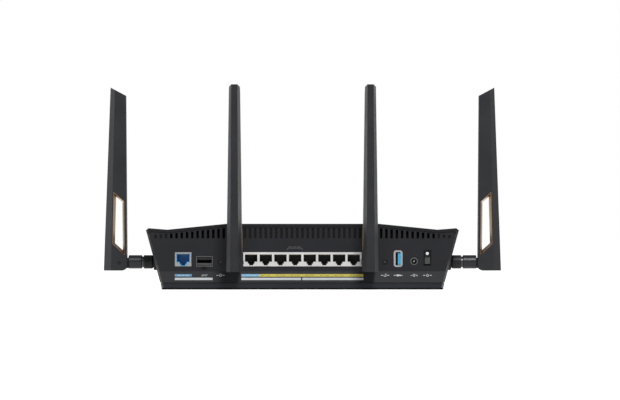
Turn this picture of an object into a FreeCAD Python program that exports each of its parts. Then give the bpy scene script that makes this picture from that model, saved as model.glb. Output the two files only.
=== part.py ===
import FreeCAD, Part
import os
import re
from collections import namedtuple

import Sketcher

# Desktop wireless router: a faceted three-shell case with a rear port wall, its boards and
# sockets, and four antennas that screw on, swivel about their connector and fold at a hinge.
#
# Frame: +Z is up, the port wall faces +Y, and the origin lies on the desk under the middle of
# the whole object. Each antenna is drawn once in its own frame, where +X leaves the case along
# the connector's axis, and is then placed four times.

Vector = FreeCAD.Vector
Rotation = FreeCAD.Rotation

SIZES = {
    # Case shells
    "case_width": 299.0,          # across the two upturned wings
    "case_depth": 187.9,          # front edge to the label ledge
    "case_height": 62.6,          # desk to the flat ridge at the rear
    "rear_wall": 67.5,            # distance of the port wall from the origin
    "wall": 2.0,
    "lid_thickness": 2.8,
    "lid_overhang": 0.7,
    "seam_gap": 0.1,              # parting gap between lid and frame
    "corner_cut": 2.5,            # rear corners are cut off by this in X ...
    "corner_length": 7.0,         # ... over this length in Y
    "wing_width": 20.5,
    "flank_width": 56.0,
    "brow_run": 2.5,
    "brow_drop": 2.0,
    "wing_slope": 0.078,
    "flank_slope": 0.1,
    "side_slope": 0.2727,
    "waist_back": 112.5,          # port wall to the section where the lid starts to dive
    "waist_inset": 9.5,
    "waist_height": 52.0,
    "front_width": 224.0,
    "front_height": 33.0,
    "front_wing": 24.0,
    "front_flank": 44.0,
    "chin_top": 17.0,
    "chin_run": 14.0,
    # Seam, ledge and underside
    "foot_height": 1.5,
    "foot_radius": 7.0,
    "rear_foot_inset": 41.5,      # wing tip to the rear feet
    "rear_foot_back": 19.5,       # port wall to the rear feet
    "front_foot_inset": 46.0,     # front corner to the front feet
    "front_foot_ahead": 34.0,     # front edge to the front feet
    "tray_top": 6.0,
    "frame_bottom": 6.6,
    "tongue_inset": 1.0,          # step between the seam groove's floor and the outer face
    "ledge_top": 17.3,
    "ledge_depth": 3.0,
    # Vents
    "vent_pitch": 5.0,
    "vent_width": 2.4,
    "vent_bottom": 48.7,
    "vent_top_gap": 4.1,
    "vent_margin": 9.5,           # last slot to the wing tip
    "vent_recess": 0.8,
    "lid_vent_width": 2.2,
    "lid_vent_length": 62.0,
    "lid_vent_pitch": 6.0,
    "lid_vent_start": 9.0,        # ridge to the first slot
    "lid_vent_back": 24.0,        # port wall to the slots
    "floor_vent_length": 44.0,
    "floor_vent_start": 24.0,     # middle of the tray to the first slot
    "floor_vent_y": -22.0,
    # Case screws and board screws
    "boss_radius": 3.5,
    "post_radius": 4.5,
    "joint_height": 12.0,         # lid boss meets tray post
    "post_end": 3.5,              # solid end of a tray post under the lid's boss
    "slot_depth": 0.8,            # screwdriver slots
    "slot_width_screw": 0.7,
    "screw_radius": 1.5,
    "screw_gap": 0.2,
    "shank_gap": 0.02,            # a screw's shank in its own thread
    "head_radius": 2.75,
    "head_height": 1.8,
    "recess_radius": 3.1,
    "screw_bite": 10.0,
    "rear_screw_inset": 37.5,     # wing tip to the rear case screws
    "rear_screw_back": 72.5,
    "front_screw_inset": 27.0,    # front corner to the front case screws
    "front_screw_ahead": 33.0,
    # Main board
    "board_top": 21.5,
    "board_thickness": 1.6,
    "board_inset": 24.5,          # wing tip to the wide rear part of the board
    "board_gap": 1.5,             # port wall's inner face to the board
    "board_step_back": 49.5,
    "board_waist_inset": 51.5,
    "board_nose_back": 135.5,
    "board_nose_width": 152.0,
    "board_front_gap": 10.0,
    "board_screw_x": 60.0,        # front pair of board screws
    "board_screw_rear": 38.0,     # board's rear edge to the rear pair of screws
    "board_screw_front": 114.0,   # board's rear edge to the front pair
    "board_screw_bite": 6.0,
    "magnetics_width": 24.0,
    "magnetics_length": 10.0,
    "magnetics_height": 6.0,
    "magnetics_gap": 8.0,         # sockets' rear to the middle of the transformers
    "capacitor_radius": 4.0,
    "capacitor_height": 11.0,
    "capacitor_gap": 12.0,
    "chip_width": 12.0,
    "chip_height": 1.4,
    "lamp_width": 2.4,
    "lamp_length": 1.6,
    "lamp_height": 1.2,
    "shield_height": 4.0,
    "shield_sheet": 0.3,
    "can_width": 44.0,
    "can_length": 56.0,
    "front_can_width": 60.0,
    "front_can_length": 34.0,
    "front_can_y": -58.0,
    "sink_base": 2.5,
    "sink_height": 16.5,
    "sink_width": 100.0,
    "sink_length": 62.0,
    "fin_thickness": 1.2,
    "fin_pitch": 7.0,
    # Ethernet jacks
    "port_gap": 0.15,             # clearance round every socket in the port wall
    "jack_proud": 0.3,
    "jack_height": 13.4,
    "jack_z": 28.8,
    "jack_depth": 18.0,
    "sheet": 0.4,
    "insert_gap": 0.05,           # moulded insert inside its metal shell
    "lan_pitch": 13.97,
    "lan_rim": 0.57,
    "wan_width": 15.7,
    "wan_step": 20.3,             # fibre cage to the WAN socket
    "wan_mouth_gap": 0.55,        # the WAN shell's mouth shows this much of its insert
    "socket_width": 11.8,
    "socket_top": 4.6,
    "socket_step": 2.4,
    "key_width": 6.4,
    "key_step": 4.2,
    "latch_width": 4.0,
    "latch_bottom": 5.8,
    "socket_depth": 12.5,
    "pin_pitch": 1.02,
    "pin_width": 0.4,
    "pin_height": 0.35,
    "pin_front": 3.0,             # socket's face to the contacts
    # Fibre cage
    "sfp_step": 15.3,             # WPS button to the fibre cage
    "sfp_z": 26.8,
    "sfp_width": 15.4,
    "sfp_height": 9.9,
    "sfp_depth": 48.0,
    "sfp_wall": 0.5,
    "sfp_tab_width": 5.5,
    "sfp_tab_drop": 0.9,
    "sfp_tab_reach": 0.9,
    "sfp_tab_root": 1.5,
    "sfp_tab_sheet": 0.6,
    "edge_connector_depth": 12.0, # connector at the far end of the cage
    "edge_slot_width": 12.4,
    "edge_slot_start": 4.0,
    "edge_slot_height": 2.4,
    # USB socket
    "usb_step": 12.5,             # reset button to the USB socket
    "usb_z": 29.4,
    "usb_width": 8.4,
    "usb_height": 15.7,
    "usb_mouth_width": 4.8,
    "usb_mouth_height": 12.6,
    "usb_depth": 17.0,
    "usb_corner": 2.4,
    "usb_tongue": 2.6,
    "usb_back": 2.0,              # solid back of the shell
    "usb_tongue_sink": 1.2,
    # Power inlet
    "dc_step": 15.2,              # USB socket to the power inlet
    "dc_z": 26.9,
    "dc_radius": 3.6,
    "dc_bore": 2.75,
    "dc_bore_depth": 9.5,
    "dc_pin": 1.0,
    "dc_pin_sink": 1.4,           # socket's face to the pin's tip
    "dc_depth": 14.0,
    # Power switch
    "switch_step": 12.7,          # power inlet to the switch
    "switch_z": 30.2,
    "switch_width": 7.0,
    "switch_height": 14.9,
    "switch_wall": 0.7,
    "switch_depth": 15.0,
    "rocker_gap": 0.35,
    "rocker_half": 6.2,
    "rocker_crown": 1.2,
    "rocker_tilt": 9.0,
    "rocker_pin": 0.9,
    "rocker_sink": 2.0,           # pivot behind the wall's outer face
    "rocker_room": 7.0,           # depth of the housing's hollow
    "pin_gap": 0.05,              # running clearance of pivots and threads
    # Push buttons
    "button_z": 26.2,
    "button_radius": 1.4,
    "button_gap": 0.95,
    "reset_step": 14.7,           # rear antenna's axis to the reset button
    "wps_step": 14.1,             # rear antenna's axis to the WPS button
    "button_recess": 0.8,
    "button_travel": 0.8,
    "flange_step": 0.5,           # a button's flange beyond its cap
    "flange_sheet": 1.0,
    "stem_radius": 1.2,
    "stem_length": 3.2,
    "tact_gap": 0.05,             # a button's stem to its switch on the board
    "tact_width": 6.0,
    "tact_depth": 4.2,
    "tact_rise": 2.5,
    "front_tact_depth": 9.0,
    "cap_radius": 2.6,
    "cap_gap": 0.3,
    "cap_proud": 0.6,
    "cap_z": 24.4,
    "wifi_x": 62.0,
    "led_x": 50.0,
    # Light guide
    "window_pitch": 8.0,
    "window_width": 3.0,
    "window_height": 1.4,
    "window_z": 24.4,
    "guide_depth": 3.0,
    # Antenna connectors
    "port_axis": 25.8,            # height of the four connector axes
    "side_antenna_y": 32.5,
    "boss_setback": 6.2,          # wing tip to the side bosses' faces
    "boss_height": 2.5,
    "collar_radius": 8.0,
    "collar_chamfer": 0.7,
    "side_boss_length": 8.0,
    "rear_antenna_gap": 7.55,
    "thread_radius": 3.15,
    "thread_length": 5.3,
    "jack_bore": 2.3,
    "jack_tail": 1.8,             # soldered end behind the washer
    "jack_tail_radius": 2.0,
    "washer_gap": 0.2,
    "washer_sheet": 1.0,
    "washer_radius": 4.2,
    "lead_radius": 0.9,
    "lead_bend": 2.0,
    "lead_reach": 30.0,           # collar's face to the lead's plug on the board
    "lead_plug_radius": 1.6,
    "lead_plug_height": 1.2,
    # Antenna nut, plug and barrel
    "nut_gap": 0.2,
    "nut_length": 9.5,
    "nut_radius": 6.5,
    "nut_chamfer": 1.2,
    "knurl_depth": 0.35,
    "nut_chamber": 4.2,
    "nut_lip": 1.4,
    "shank_radius": 3.5,
    "flange_radius": 4.0,
    "flange_width": 2.2,
    "collar_neck": 5.2,
    "groove_width": 1.5,
    "barrel_length": 13.0,
    "barrel_radius": 6.5,
    "barrel_chamfer": 0.5,
    "shank_bite": 8.0,
    "bead_height": 0.4,
    # Antenna hinge and blade
    "blade_gap": 1.4,
    "blade_heel": 7.3,            # hinge pin to the blade's inner and lower edges
    "hinge_drop": 1.0,            # hinge pin below the connector's axis
    "tongue_radius": 5.0,
    "tongue_width": 6.0,
    "slot_width": 6.4,
    "slot_gap": 0.4,
    "hinge_radius": 1.15,
    "hinge_head": 1.6,
    "hinge_recess": 1.7,
    "hinge_sink": 0.9,
    "blade_length": 176.3,
    "blade_width": 22.4,
    "inner_lean": 1.3,            # the inner edge leans out by this over the blade's length
    "outer_lean": 6.4,
    "blade_thickness": 15.0,
    "thickness_lean": 4.7,
    "facet_width": 7.0,
    "facet_lean": 2.7,
    "facet_ratio": 0.5224,
    "tip_slope": 0.53,
    "heel_radius": 5.0,
    # Window in the blade, its trim, and the radiator behind the window
    "window_margin": 2.2,
    "window_bevel_gap": 1.2,      # window to the bevels beside the outer edge
    "window_low": 15.1,
    "window_high": 66.5,
    "window_slope": 0.9,
    "trim_gap": 0.05,
    "trim_lip": 0.1,
    "trim_width": 2.0,
    "radiator_low": 16.0,
    "radiator_shoulder": 88.0,
    "radiator_high": 150.0,
    "radiator_margin": 3.0,
    "radiator_strip": 4.4,
    "radiator_thickness": 0.8,
    "cavity_gap": 0.2,
    "cavity_width": 4.0,
}

LAN_PORTS = 8
PINS = 8
KNURLS = 28
SHUT_SLOTS_MIDDLE = 11            # slots to either side of the middle one that are only recesses
SHUT_SLOTS_END = 3                # recessed slots at each end of the row
CHIP_SPOTS = ((-70, -2), (-70, -22), (72, -2), (72, -26), (-50, -82), (50, -82))
CAN_SPOTS = ((-25, -5), (25, -5))
LID_SLOTS = 7
FLOOR_SLOTS = 10
WINDOWS = 8
FINS = 15

WORD = re.compile(r"[a-z]\w*")
UPRIGHT = Rotation(Vector(1, 0, 0), 90)           # sketch x, y -> X, Z
SIDEWAYS = Rotation(Vector(1, 1, 1), 120)         # sketch x, y -> Y, Z
ALONG = {
    "x": Rotation(Vector(0, 1, 0), 90),
    "y": Rotation(Vector(1, 0, 0), -90),
    "z": Rotation(),
}

doc = FreeCAD.newDocument("router")
sheet = doc.addObject("Spreadsheet::Sheet", "dims")


# ---------------------------------------------------------------- sizes and expressions

def fill_sheet():
    """Write every driving dimension into the spreadsheet as a plain number with an alias."""
    for row, (name, size) in enumerate(SIZES.items(), start=1):
        sheet.set(f"A{row}", name)
        sheet.set(f"B{row}", str(size))
        sheet.setAlias(f"B{row}", name)
    doc.recompute()


def formula(text):
    """An expression in which each size name points at its spreadsheet cell."""
    return WORD.sub(lambda word: f"dims.{word[0]}" if word[0] in SIZES else word[0], str(text))


def value(text):
    """The number that an expression gives now."""
    return float(sheet.evalExpression(formula(text)))


def bind(thing, **links):
    """Tie properties of a feature to expressions."""
    for name, text in links.items():
        thing.setExpression(name, formula(text))
    return thing


def place(thing, x="0", y="0", z="0", turn=None):
    """Tie a feature's position to expressions, after an optional fixed rotation."""
    if turn is not None:
        thing.Placement = FreeCAD.Placement(Vector(), turn)
    for axis, text in zip("xyz", (x, y, z)):
        thing.setExpression(f"Placement.Base.{axis}", formula(text))
    return thing


def around(centre, width):
    """The two ends of a stretch that is centred on a position."""
    return (f"{centre} - ({width}) / 2", f"{centre} + ({width}) / 2")


def minus(text):
    return f"-({text})"


# ---------------------------------------------------------------- primitives and booleans

def box(x, y, z):
    """A box between two expressions on each axis."""
    solid = doc.addObject("Part::Box", "box")
    bind(solid, Length=f"({x[1]}) - ({x[0]})", Width=f"({y[1]}) - ({y[0]})")
    bind(solid, Height=f"({z[1]}) - ({z[0]})")
    return place(solid, x[0], y[0], z[0])


def rod(axis, start, radius, length):
    """A cylinder that starts at a point and runs along +X, +Y or +Z."""
    solid = bind(doc.addObject("Part::Cylinder", "rod"), Radius=radius, Height=length)
    return place(solid, *start, turn=ALONG[axis])


def cone(axis, start, radius, end_radius, length):
    """A cone stub that starts at a point and runs along +X, +Y or +Z."""
    solid = doc.addObject("Part::Cone", "cone")
    bind(solid, Radius1=radius, Radius2=end_radius, Height=length)
    return place(solid, *start, turn=ALONG[axis])


def fuse(*solids):
    made = doc.addObject("Part::MultiFuse", "fused")
    made.Shapes = list(solids)
    return made


def cut(base, *tools):
    made = doc.addObject("Part::Cut", "cut")
    made.Base = base
    made.Tool = tools[0] if len(tools) == 1 else fuse(*tools)
    return made


def common(first, second):
    made = doc.addObject("Part::MultiCommon", "common")
    made.Shapes = [first, second]
    return made


def group(*solids):
    """Separate solids that share one node."""
    made = doc.addObject("Part::Compound", "group")
    made.Links = list(solids)
    return made


# ---------------------------------------------------------------- sketches

def draw(sketch, points):
    """A closed polygon whose corners follow pairs of expressions."""
    corners = [Vector(value(u), value(v), 0) for u, v in points]
    count = len(corners)
    first = sketch.GeometryCount
    for i in range(count):
        sketch.addGeometry(Part.LineSegment(corners[i], corners[(i + 1) % count]), False)
    for i in range(count):
        joined = Sketcher.Constraint("Coincident", first + i, 2, first + (i + 1) % count, 1)
        sketch.addConstraint(joined)
    for i, point in enumerate(points):
        for kind, text, size in zip(("DistanceX", "DistanceY"), point, corners[i]):
            index = sketch.addConstraint(Sketcher.Constraint(kind, -1, 1, first + i, 1, size))
            sketch.setExpression(f"Constraints[{index}]", formula(text))


def outline(points, turn, x="0", y="0", z="0"):
    """A polygon sketch of the document, turned and placed in space."""
    sketch = place(doc.addObject("Sketcher::SketchObject", "outline"), x, y, z, turn)
    draw(sketch, points)
    return sketch


def prism(sketch, length):
    """A sketch extruded to both sides of its plane, over a total length."""
    made = doc.addObject("Part::Extrusion", "prism")
    made.Base = sketch
    made.DirMode = "Normal"
    made.Solid = True
    made.Symmetric = True
    return bind(made, LengthFwd=length)


def loft(*sketches):
    """Flat facets through matching polygons."""
    made = doc.addObject("Part::Loft", "loft")
    made.Sections = list(sketches)
    made.Solid = True
    made.Ruled = True
    return made


def body_sketch(body, role, points, lift="0"):
    """A polygon sketch on one of a body's origin planes, moved along the plane's normal."""
    sketch = body.newObject("Sketcher::SketchObject", "sketch")
    plane = next(item for item in body.Origin.OriginFeatures if item.Role == role)
    sketch.AttachmentSupport = [(plane, "")]
    sketch.MapMode = "FlatFace"
    sketch.setExpression("AttachmentOffset.Base.z", formula(lift))
    draw(sketch, points)
    return sketch


def pad(body, sketch, length):
    feature = body.newObject("PartDesign::Pad", "pad")
    feature.Profile = sketch
    return bind(feature, Length=length)


def pocket(body, sketch, depth):
    """A pocket that runs the way a pad of the same sketch would."""
    feature = body.newObject("PartDesign::Pocket", "pocket")
    feature.Profile = sketch
    feature.Reversed = True
    return bind(feature, Length=depth)


def row(body, feature, sketch, pitch, count):
    """Repeat a feature along the sketch's horizontal axis."""
    pattern = body.newObject("PartDesign::LinearPattern", "row")
    pattern.Originals = [feature]
    pattern.Direction = (sketch, ["H_Axis"])
    pattern.Occurrences = count
    bind(pattern, Length=f"{pitch} * {count - 1}")
    body.Tip = pattern


def turned(name, profile):
    """A body of revolution about X, from (x, radius) corners."""
    body = doc.addObject("PartDesign::Body", name)
    sketch = body_sketch(body, "XZ_Plane", profile)
    feature = body.newObject("PartDesign::Revolution", "turned")
    feature.Profile = sketch
    feature.ReferenceAxis = (sketch, ["H_Axis"])
    feature.Angle = 360
    return body


def rectangle(u, v):
    return [(u[0], v[0]), (u[1], v[0]), (u[1], v[1]), (u[0], v[1])]


def mirrored(points):
    """A half outline followed by its mirror image in the YZ plane."""
    return points + [(minus(x), z) for x, z in reversed(points)]


# ---------------------------------------------------------------- case sections

Station = namedtuple("Station", "y tip valley ridge height")

FRONT_Y = "(rear_wall + ledge_depth - case_depth)"
HALF = "case_width / 2"
REAR = Station("rear_wall", f"({HALF} - corner_cut)", f"({HALF} - wing_width)",
               f"({HALF} - wing_width - flank_width)", "case_height")
SHOULDER = REAR._replace(y="(rear_wall - corner_length)", tip=f"({HALF})")
WAIST = Station("(rear_wall - waist_back)", f"({HALF} - waist_inset)",
                f"({HALF} - waist_inset - wing_width)",
                f"({HALF} - waist_inset - wing_width - flank_width)", "waist_height")
FRONT = Station(FRONT_Y, "(front_width / 2)", "(front_width / 2 - front_wing)",
                "(front_width / 2 - front_wing - front_flank)", "front_height")
STATIONS = (REAR, SHOULDER, WAIST, FRONT)


def roof(station, drop="0"):
    """Half outline of the lid's facets, from the ridge out to the wing tip, lowered by drop."""
    valley_z = f"({station.height} - flank_slope * ({station.valley} - {station.ridge}))"
    brow_x = f"({station.tip} - brow_run)"
    brow_z = f"({valley_z} + wing_slope * ({brow_x} - {station.valley}))"
    return [
        (station.ridge, f"{station.height} - ({drop})"),
        (station.valley, f"{valley_z} - ({drop})"),
        (brow_x, f"{brow_z} - ({drop})"),
        (f"({station.tip} - side_slope * ({drop}))", f"({brow_z} - brow_drop - ({drop}))"),
    ]


def side(station, height, inset="0"):
    """X of the leaning side wall at a height, moved inward by inset."""
    tip_x, tip_z = roof(station)[-1]
    return f"({tip_x} - side_slope * ({tip_z} - ({height})) - ({inset}))"


def sections(stations, half_outline):
    """Sketches of one outline at each station, from the rear to the front."""
    return [outline(mirrored(half_outline(station)), UPRIGHT, y=station.y) for station in stations]


def hull(drop, bottom):
    """Everything under the lid's facets lowered by drop, down to a flat bottom."""
    return loft(*sections(STATIONS, lambda station: roof(station, drop)
                          + [(side(station, bottom), bottom)]))


def slab(rear_y, inset, bottom, top):
    """The case's plan, inset from the outer faces, between two heights or over the roof."""
    ends = [station._replace(y=f"({station.y} - ({inset}))") for station in STATIONS[:2]]
    ends[0] = ends[0]._replace(y=rear_y)
    ends += [WAIST, FRONT._replace(y=f"({FRONT_Y} + {inset})")]
    return loft(*sections(ends, lambda station: [
        (side(station, top, inset), top),
        (side(station, bottom, inset), bottom),
    ]))


def chin(shift):
    """Everything ahead of the front's slanting underside, moved back by shift."""
    y = f"({FRONT_Y} + {shift})"
    rise = "(chin_top - foot_height)"
    wedge = outline([
        (f"{y} - chin_run", f"chin_top + {rise}"),
        (f"{y} + chin_run * 2", f"foot_height - {rise}"),
        (f"{y} - chin_run", f"foot_height - {rise}"),
    ], SIDEWAYS)
    return prism(wedge, "case_width")


# ---------------------------------------------------------------- positions

ROCKER_Y = "(rear_wall - rocker_sink)"
ROCKER_REST = Rotation(Vector(1, 0, 0), SIZES["rocker_tilt"])
LAN_WIDTH = f"(lan_pitch * {LAN_PORTS} + lan_rim * 2)"
LAN_FIRST = f"(-lan_pitch * {LAN_PORTS - 1} / 2)"
SOCKET_Y = "(rear_wall + jack_proud)"
INNER_WALL = "(rear_wall - wall)"
REAR_ANTENNA_X = f"({LAN_WIDTH} / 2 + rear_antenna_gap)"
WPS_X = f"({REAR_ANTENNA_X} + wps_step)"
SFP_X = f"({WPS_X} + sfp_step)"
WAN_X = f"({SFP_X} + wan_step)"
RESET_X = f"(-{REAR_ANTENNA_X} - reset_step)"
USB_X = f"({RESET_X} - usb_step)"
DC_X = f"({USB_X} - dc_step)"
SWITCH_X = f"({DC_X} - switch_step)"
SIDE_FACE = f"({HALF} - boss_setback)"
REAR_FACE = "(rear_wall + boss_height)"
ANTENNAS = {
    "right_side": (SIDE_FACE, "side_antenna_y", 0),
    "left_side": (minus(SIDE_FACE), "side_antenna_y", 180),
    "rear_right": (REAR_ANTENNA_X, REAR_FACE, 90),
    "rear_left": (minus(REAR_ANTENNA_X), REAR_FACE, 90),
}
REAR_SCREW = (f"({HALF} - rear_screw_inset)", "(rear_wall - rear_screw_back)")
FRONT_SCREW = ("(front_width / 2 - front_screw_inset)", f"({FRONT_Y} + front_screw_ahead)")
BOARD_SCREWS = ((f"({HALF} - rear_screw_inset)", f"({INNER_WALL} - board_gap - board_screw_rear)"),
                ("board_screw_x", f"({INNER_WALL} - board_gap - board_screw_front)"))
TRAY_FLOOR = "(foot_height + wall)"
BOARD_BOTTOM = "(board_top - board_thickness)"


def pairs(*spots):
    """Each spot and its mirror image in the YZ plane."""
    return [place_xy for x, y in spots for place_xy in ((x, y), (minus(x), y))]


CASE_SCREWS = pairs(REAR_SCREW, FRONT_SCREW)
BOARD_SPOTS = pairs(*BOARD_SCREWS)


def at_antennas(master):
    """Four placed copies of a piece drawn in the antenna's frame."""
    copies = []
    for x, y, angle in ANTENNAS.values():
        turn = Rotation(Vector(0, 0, 1), angle)
        copies.append(place(group(master), x, y, "port_axis", turn))
    return copies


# ---------------------------------------------------------------- case shells

def top_cover():
    """Faceted lid with slotted flanks and four screw bosses."""
    rear = REAR._replace(y="(rear_wall + lid_overhang)")
    lid = loft(*sections((rear,) + STATIONS[1:], lambda station: roof(station)
                         + roof(station, "lid_thickness")[::-1]))
    pins = fuse(*[rod("z", (x, y, "joint_height"), "boss_radius", "case_height")
                  for x, y in CASE_SCREWS])
    bosses = common(pins, hull("lid_thickness / 2", "tray_top"))
    bores = [rod("z", (x, y, "joint_height - 1"), "screw_radius", "screw_bite + 2")
             for x, y in CASE_SCREWS]
    slots = []
    for i in range(LID_SLOTS):
        middle = f"({HALF} - wing_width - flank_width + lid_vent_start + lid_vent_pitch * {i})"
        for x in (middle, minus(middle)):
            slots.append(box(around(x, "lid_vent_width"),
                             ("rear_wall - lid_vent_back - lid_vent_length",
                              "rear_wall - lid_vent_back"),
                             ("waist_height / 2", "case_height + 1")))
    return cut(fuse(lid, bosses), *bores, *slots)


def ledge():
    """Sloping label ledge along the foot of the port wall."""
    solid = doc.addObject("Part::Wedge", "ledge")
    wide = side(REAR, "frame_bottom")
    narrow = side(REAR, "ledge_top")
    bind(solid, Xmin=minus(wide), Xmax=wide, X2min=minus(narrow), X2max=narrow)
    bind(solid, Ymin="frame_bottom", Ymax="ledge_top")
    bind(solid, Zmin="-(rear_wall + ledge_depth)", Zmax=f"-{INNER_WALL}")
    bind(solid, Z2min="-rear_wall - 0.01", Z2max=f"-{INNER_WALL}")
    return place(solid, turn=UPRIGHT)


def collars():
    """Chamfered round bosses under the four antenna nuts, longer on the leaning sides."""
    rim = cone("x", ("-collar_chamfer", "0", "0"), "collar_radius",
               "collar_radius - collar_chamfer", "collar_chamfer")
    drums = [rod("x", (f"-({length})", "0", "0"), "collar_radius", f"{length} - collar_chamfer")
             for length in ("side_boss_length", "boss_height + wall")]
    side_bosses, rear_bosses = [at_antennas(fuse(drum, rim)) for drum in drums]
    return side_bosses[:2] + rear_bosses[2:]


def rear_vents():
    """The row of upright slots, some cut through and some only recessed."""
    last = int(value(f"({HALF} - vent_margin) / vent_pitch") + 1e-6)
    tools = []
    for i in range(-last, last + 1):
        x = f"(vent_pitch * {i})"
        ridge_gap = f"max(0; vent_pitch * {abs(i)} - {REAR.ridge})"
        top = f"(case_height - vent_top_gap - flank_slope * {ridge_gap})"
        shut = abs(i) <= SHUT_SLOTS_MIDDLE or abs(i) > last - SHUT_SLOTS_END
        depth = "vent_recess" if shut else "(wall + 1)"
        tools.append(box(around(x, "vent_width"), (f"rear_wall - {depth}", "rear_wall + 1"),
                         ("vent_bottom", top)))
    return tools


def wall_hole(x, z, width, height):
    """A rectangular hole in the port wall for a socket, with its clearance."""
    return box(around(x, f"{width} + port_gap * 2"), ("rear_wall - wall - 1", "rear_wall + 1"),
               around(z, f"{height} + port_gap * 2"))


def wall_bore(x, z, radius):
    """A round hole in the port wall."""
    return rod("y", (x, "rear_wall - wall - 1", z), radius, "wall + 2")


def port_holes():
    """Every opening that the sockets and buttons need in the port wall."""
    tab_z = ("sfp_z - sfp_height / 2 - sfp_tab_drop - port_gap", "sfp_z")
    return [
        wall_hole(WAN_X, "jack_z", "wan_width", "jack_height"),
        wall_hole("0", "jack_z", LAN_WIDTH, "jack_height"),
        wall_hole(SFP_X, "sfp_z", "sfp_width", "sfp_height"),
        box(around(SFP_X, "sfp_tab_width + port_gap * 2"),
            ("rear_wall - wall - 1", "rear_wall + 1"), tab_z),
        rounded_block(USB_X, "usb_z", "rear_wall + 1", "port_gap", "wall + 2"),
        wall_hole(SWITCH_X, "switch_z", "switch_width", "switch_height"),
        wall_bore(DC_X, "dc_z", "dc_radius + port_gap"),
        wall_bore(WPS_X, "button_z", "button_radius + button_gap"),
        wall_bore(RESET_X, "button_z", "button_radius + button_gap"),
    ]


def front_holes():
    """Light windows and button holes in the front wall."""
    tools = []
    for i in range(WINDOWS):
        x = f"(window_pitch * ({i} - {(WINDOWS - 1) / 2}))"
        tools.append(box(around(x, "window_width"), (f"{FRONT_Y} - 1", f"{FRONT_Y} + wall + 1"),
                         around("window_z", "window_height")))
    for x in ("wifi_x", "led_x"):
        tools.append(rod("y", (x, f"{FRONT_Y} - 1", "cap_z"), "cap_radius + cap_gap", "wall + 2"))
    return tools


def middle_frame():
    """Ring of walls with the ports, the vents, the label ledge and the antenna collars."""
    outer = hull("lid_thickness + seam_gap", "frame_bottom")
    room = slab(INNER_WALL, "wall", "frame_bottom - 2", "case_height + 10")
    walls = cut(outer, cut(room, chin("wall")))
    bores = at_antennas(rod("x", ("-side_boss_length * 2", "0", "0"), "thread_radius + pin_gap",
                            "side_boss_length * 3"))
    solid = fuse(walls, ledge(), *collars())
    return cut(solid, chin("0"), *rear_vents(), *port_holes(), *front_holes(), *bores)


def tray_floor_vents():
    """Two fields of slots in the underside."""
    tools = []
    for i in range(FLOOR_SLOTS):
        middle = f"(floor_vent_start + lid_vent_pitch * {i})"
        for x in (middle, minus(middle)):
            tools.append(box(around(x, "lid_vent_width"), around("floor_vent_y", "floor_vent_length"),
                             ("0", "foot_height + wall + 1")))
    return tools


def bottom_cover():
    """Tray with a stepped rim, screw posts and board standoffs."""
    rear = "(rear_wall + ledge_depth)"
    outer = slab(rear, "0", "foot_height", "tray_top")
    step = slab(f"({rear} - tongue_inset)", "tongue_inset", "tray_top - 1", "frame_bottom")
    room = slab(f"({rear} - wall)", "wall", TRAY_FLOOR, "frame_bottom + 2")
    shell = cut(fuse(outer, step), cut(room, chin("wall")), chin("0"))
    posts = [rod("z", (x, y, "foot_height"), "post_radius", "joint_height - foot_height")
             for x, y in CASE_SCREWS]
    standoffs = [rod("z", (x, y, "foot_height"), "boss_radius", f"{BOARD_BOTTOM} - foot_height")
                 for x, y in BOARD_SPOTS]
    wells = [rod("z", (x, y, "0"), "recess_radius", "joint_height - post_end")
             for x, y in CASE_SCREWS]
    holes = [rod("z", (x, y, "foot_height"), "screw_radius + screw_gap", "joint_height")
             for x, y in CASE_SCREWS]
    blind = [rod("z", (x, y, f"{BOARD_BOTTOM} - board_screw_bite - 1"), "screw_radius",
                 "board_screw_bite + 2") for x, y in BOARD_SPOTS]
    return cut(fuse(shell, *posts, *standoffs), *wells, *holes, *blind, *tray_floor_vents())


def screw(x, y, head_z, length, head_below):
    """A round-head screw: its head's outer face at head_z, its shank past the head."""
    reach = f"(head_height + ({length}))"
    if head_below:
        low_head, low_shank = head_z, head_z
        slot_z = (f"{head_z} - 1", f"{head_z} + slot_depth")
    else:
        low_head, low_shank = f"({head_z} - head_height)", f"({head_z} - {reach})"
        slot_z = (f"{head_z} - slot_depth", f"{head_z} + 1")
    head = rod("z", (x, y, low_head), "head_radius", "head_height")
    shank = rod("z", (x, y, low_shank), "screw_radius - shank_gap", reach)
    slot = box(around(x, "head_radius * 1.2"), around(y, "slot_width_screw"), slot_z)
    return cut(fuse(head, shank), slot)


def screws():
    """Case screws from below and board screws from above."""
    case_head = "(joint_height - post_end - head_height)"
    board_head = "(board_top + head_height)"
    made = [screw(x, y, case_head, "post_end + screw_bite", True) for x, y in CASE_SCREWS]
    made += [screw(x, y, board_head, "board_thickness + board_screw_bite", False) for x, y in BOARD_SPOTS]
    return group(*made)


def rubber_feet():
    """Four round pads under the tray."""
    spots = pairs((f"({HALF} - rear_foot_inset)", "(rear_wall - rear_foot_back)"),
                  ("(front_width / 2 - front_foot_inset)", f"({FRONT_Y} + front_foot_ahead)"))
    return group(*[rod("z", (x, y, "0"), "foot_radius", "foot_height") for x, y in spots])


# ---------------------------------------------------------------- sockets

def socket_outline(x, grow="0"):
    """Keyed mouth of an Ethernet socket, with its latch at the bottom."""
    def across(width):
        return f"({x} + ({width}) / 2 + {grow})", f"({x} - ({width}) / 2 - {grow})"
    wide, key, latch = across("socket_width"), across("key_width"), across("latch_width")
    top = f"socket_top + {grow}"
    step = f"-socket_step - {grow}"
    key_z = f"-key_step - {grow}"
    low = f"-latch_bottom - {grow}"
    return [(wide[0], top), (wide[0], step), (key[0], step), (key[0], key_z), (latch[0], key_z),
            (latch[0], low), (latch[1], low), (latch[1], key_z), (key[1], key_z), (key[1], step),
            (wide[1], step), (wide[1], top)]


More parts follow.
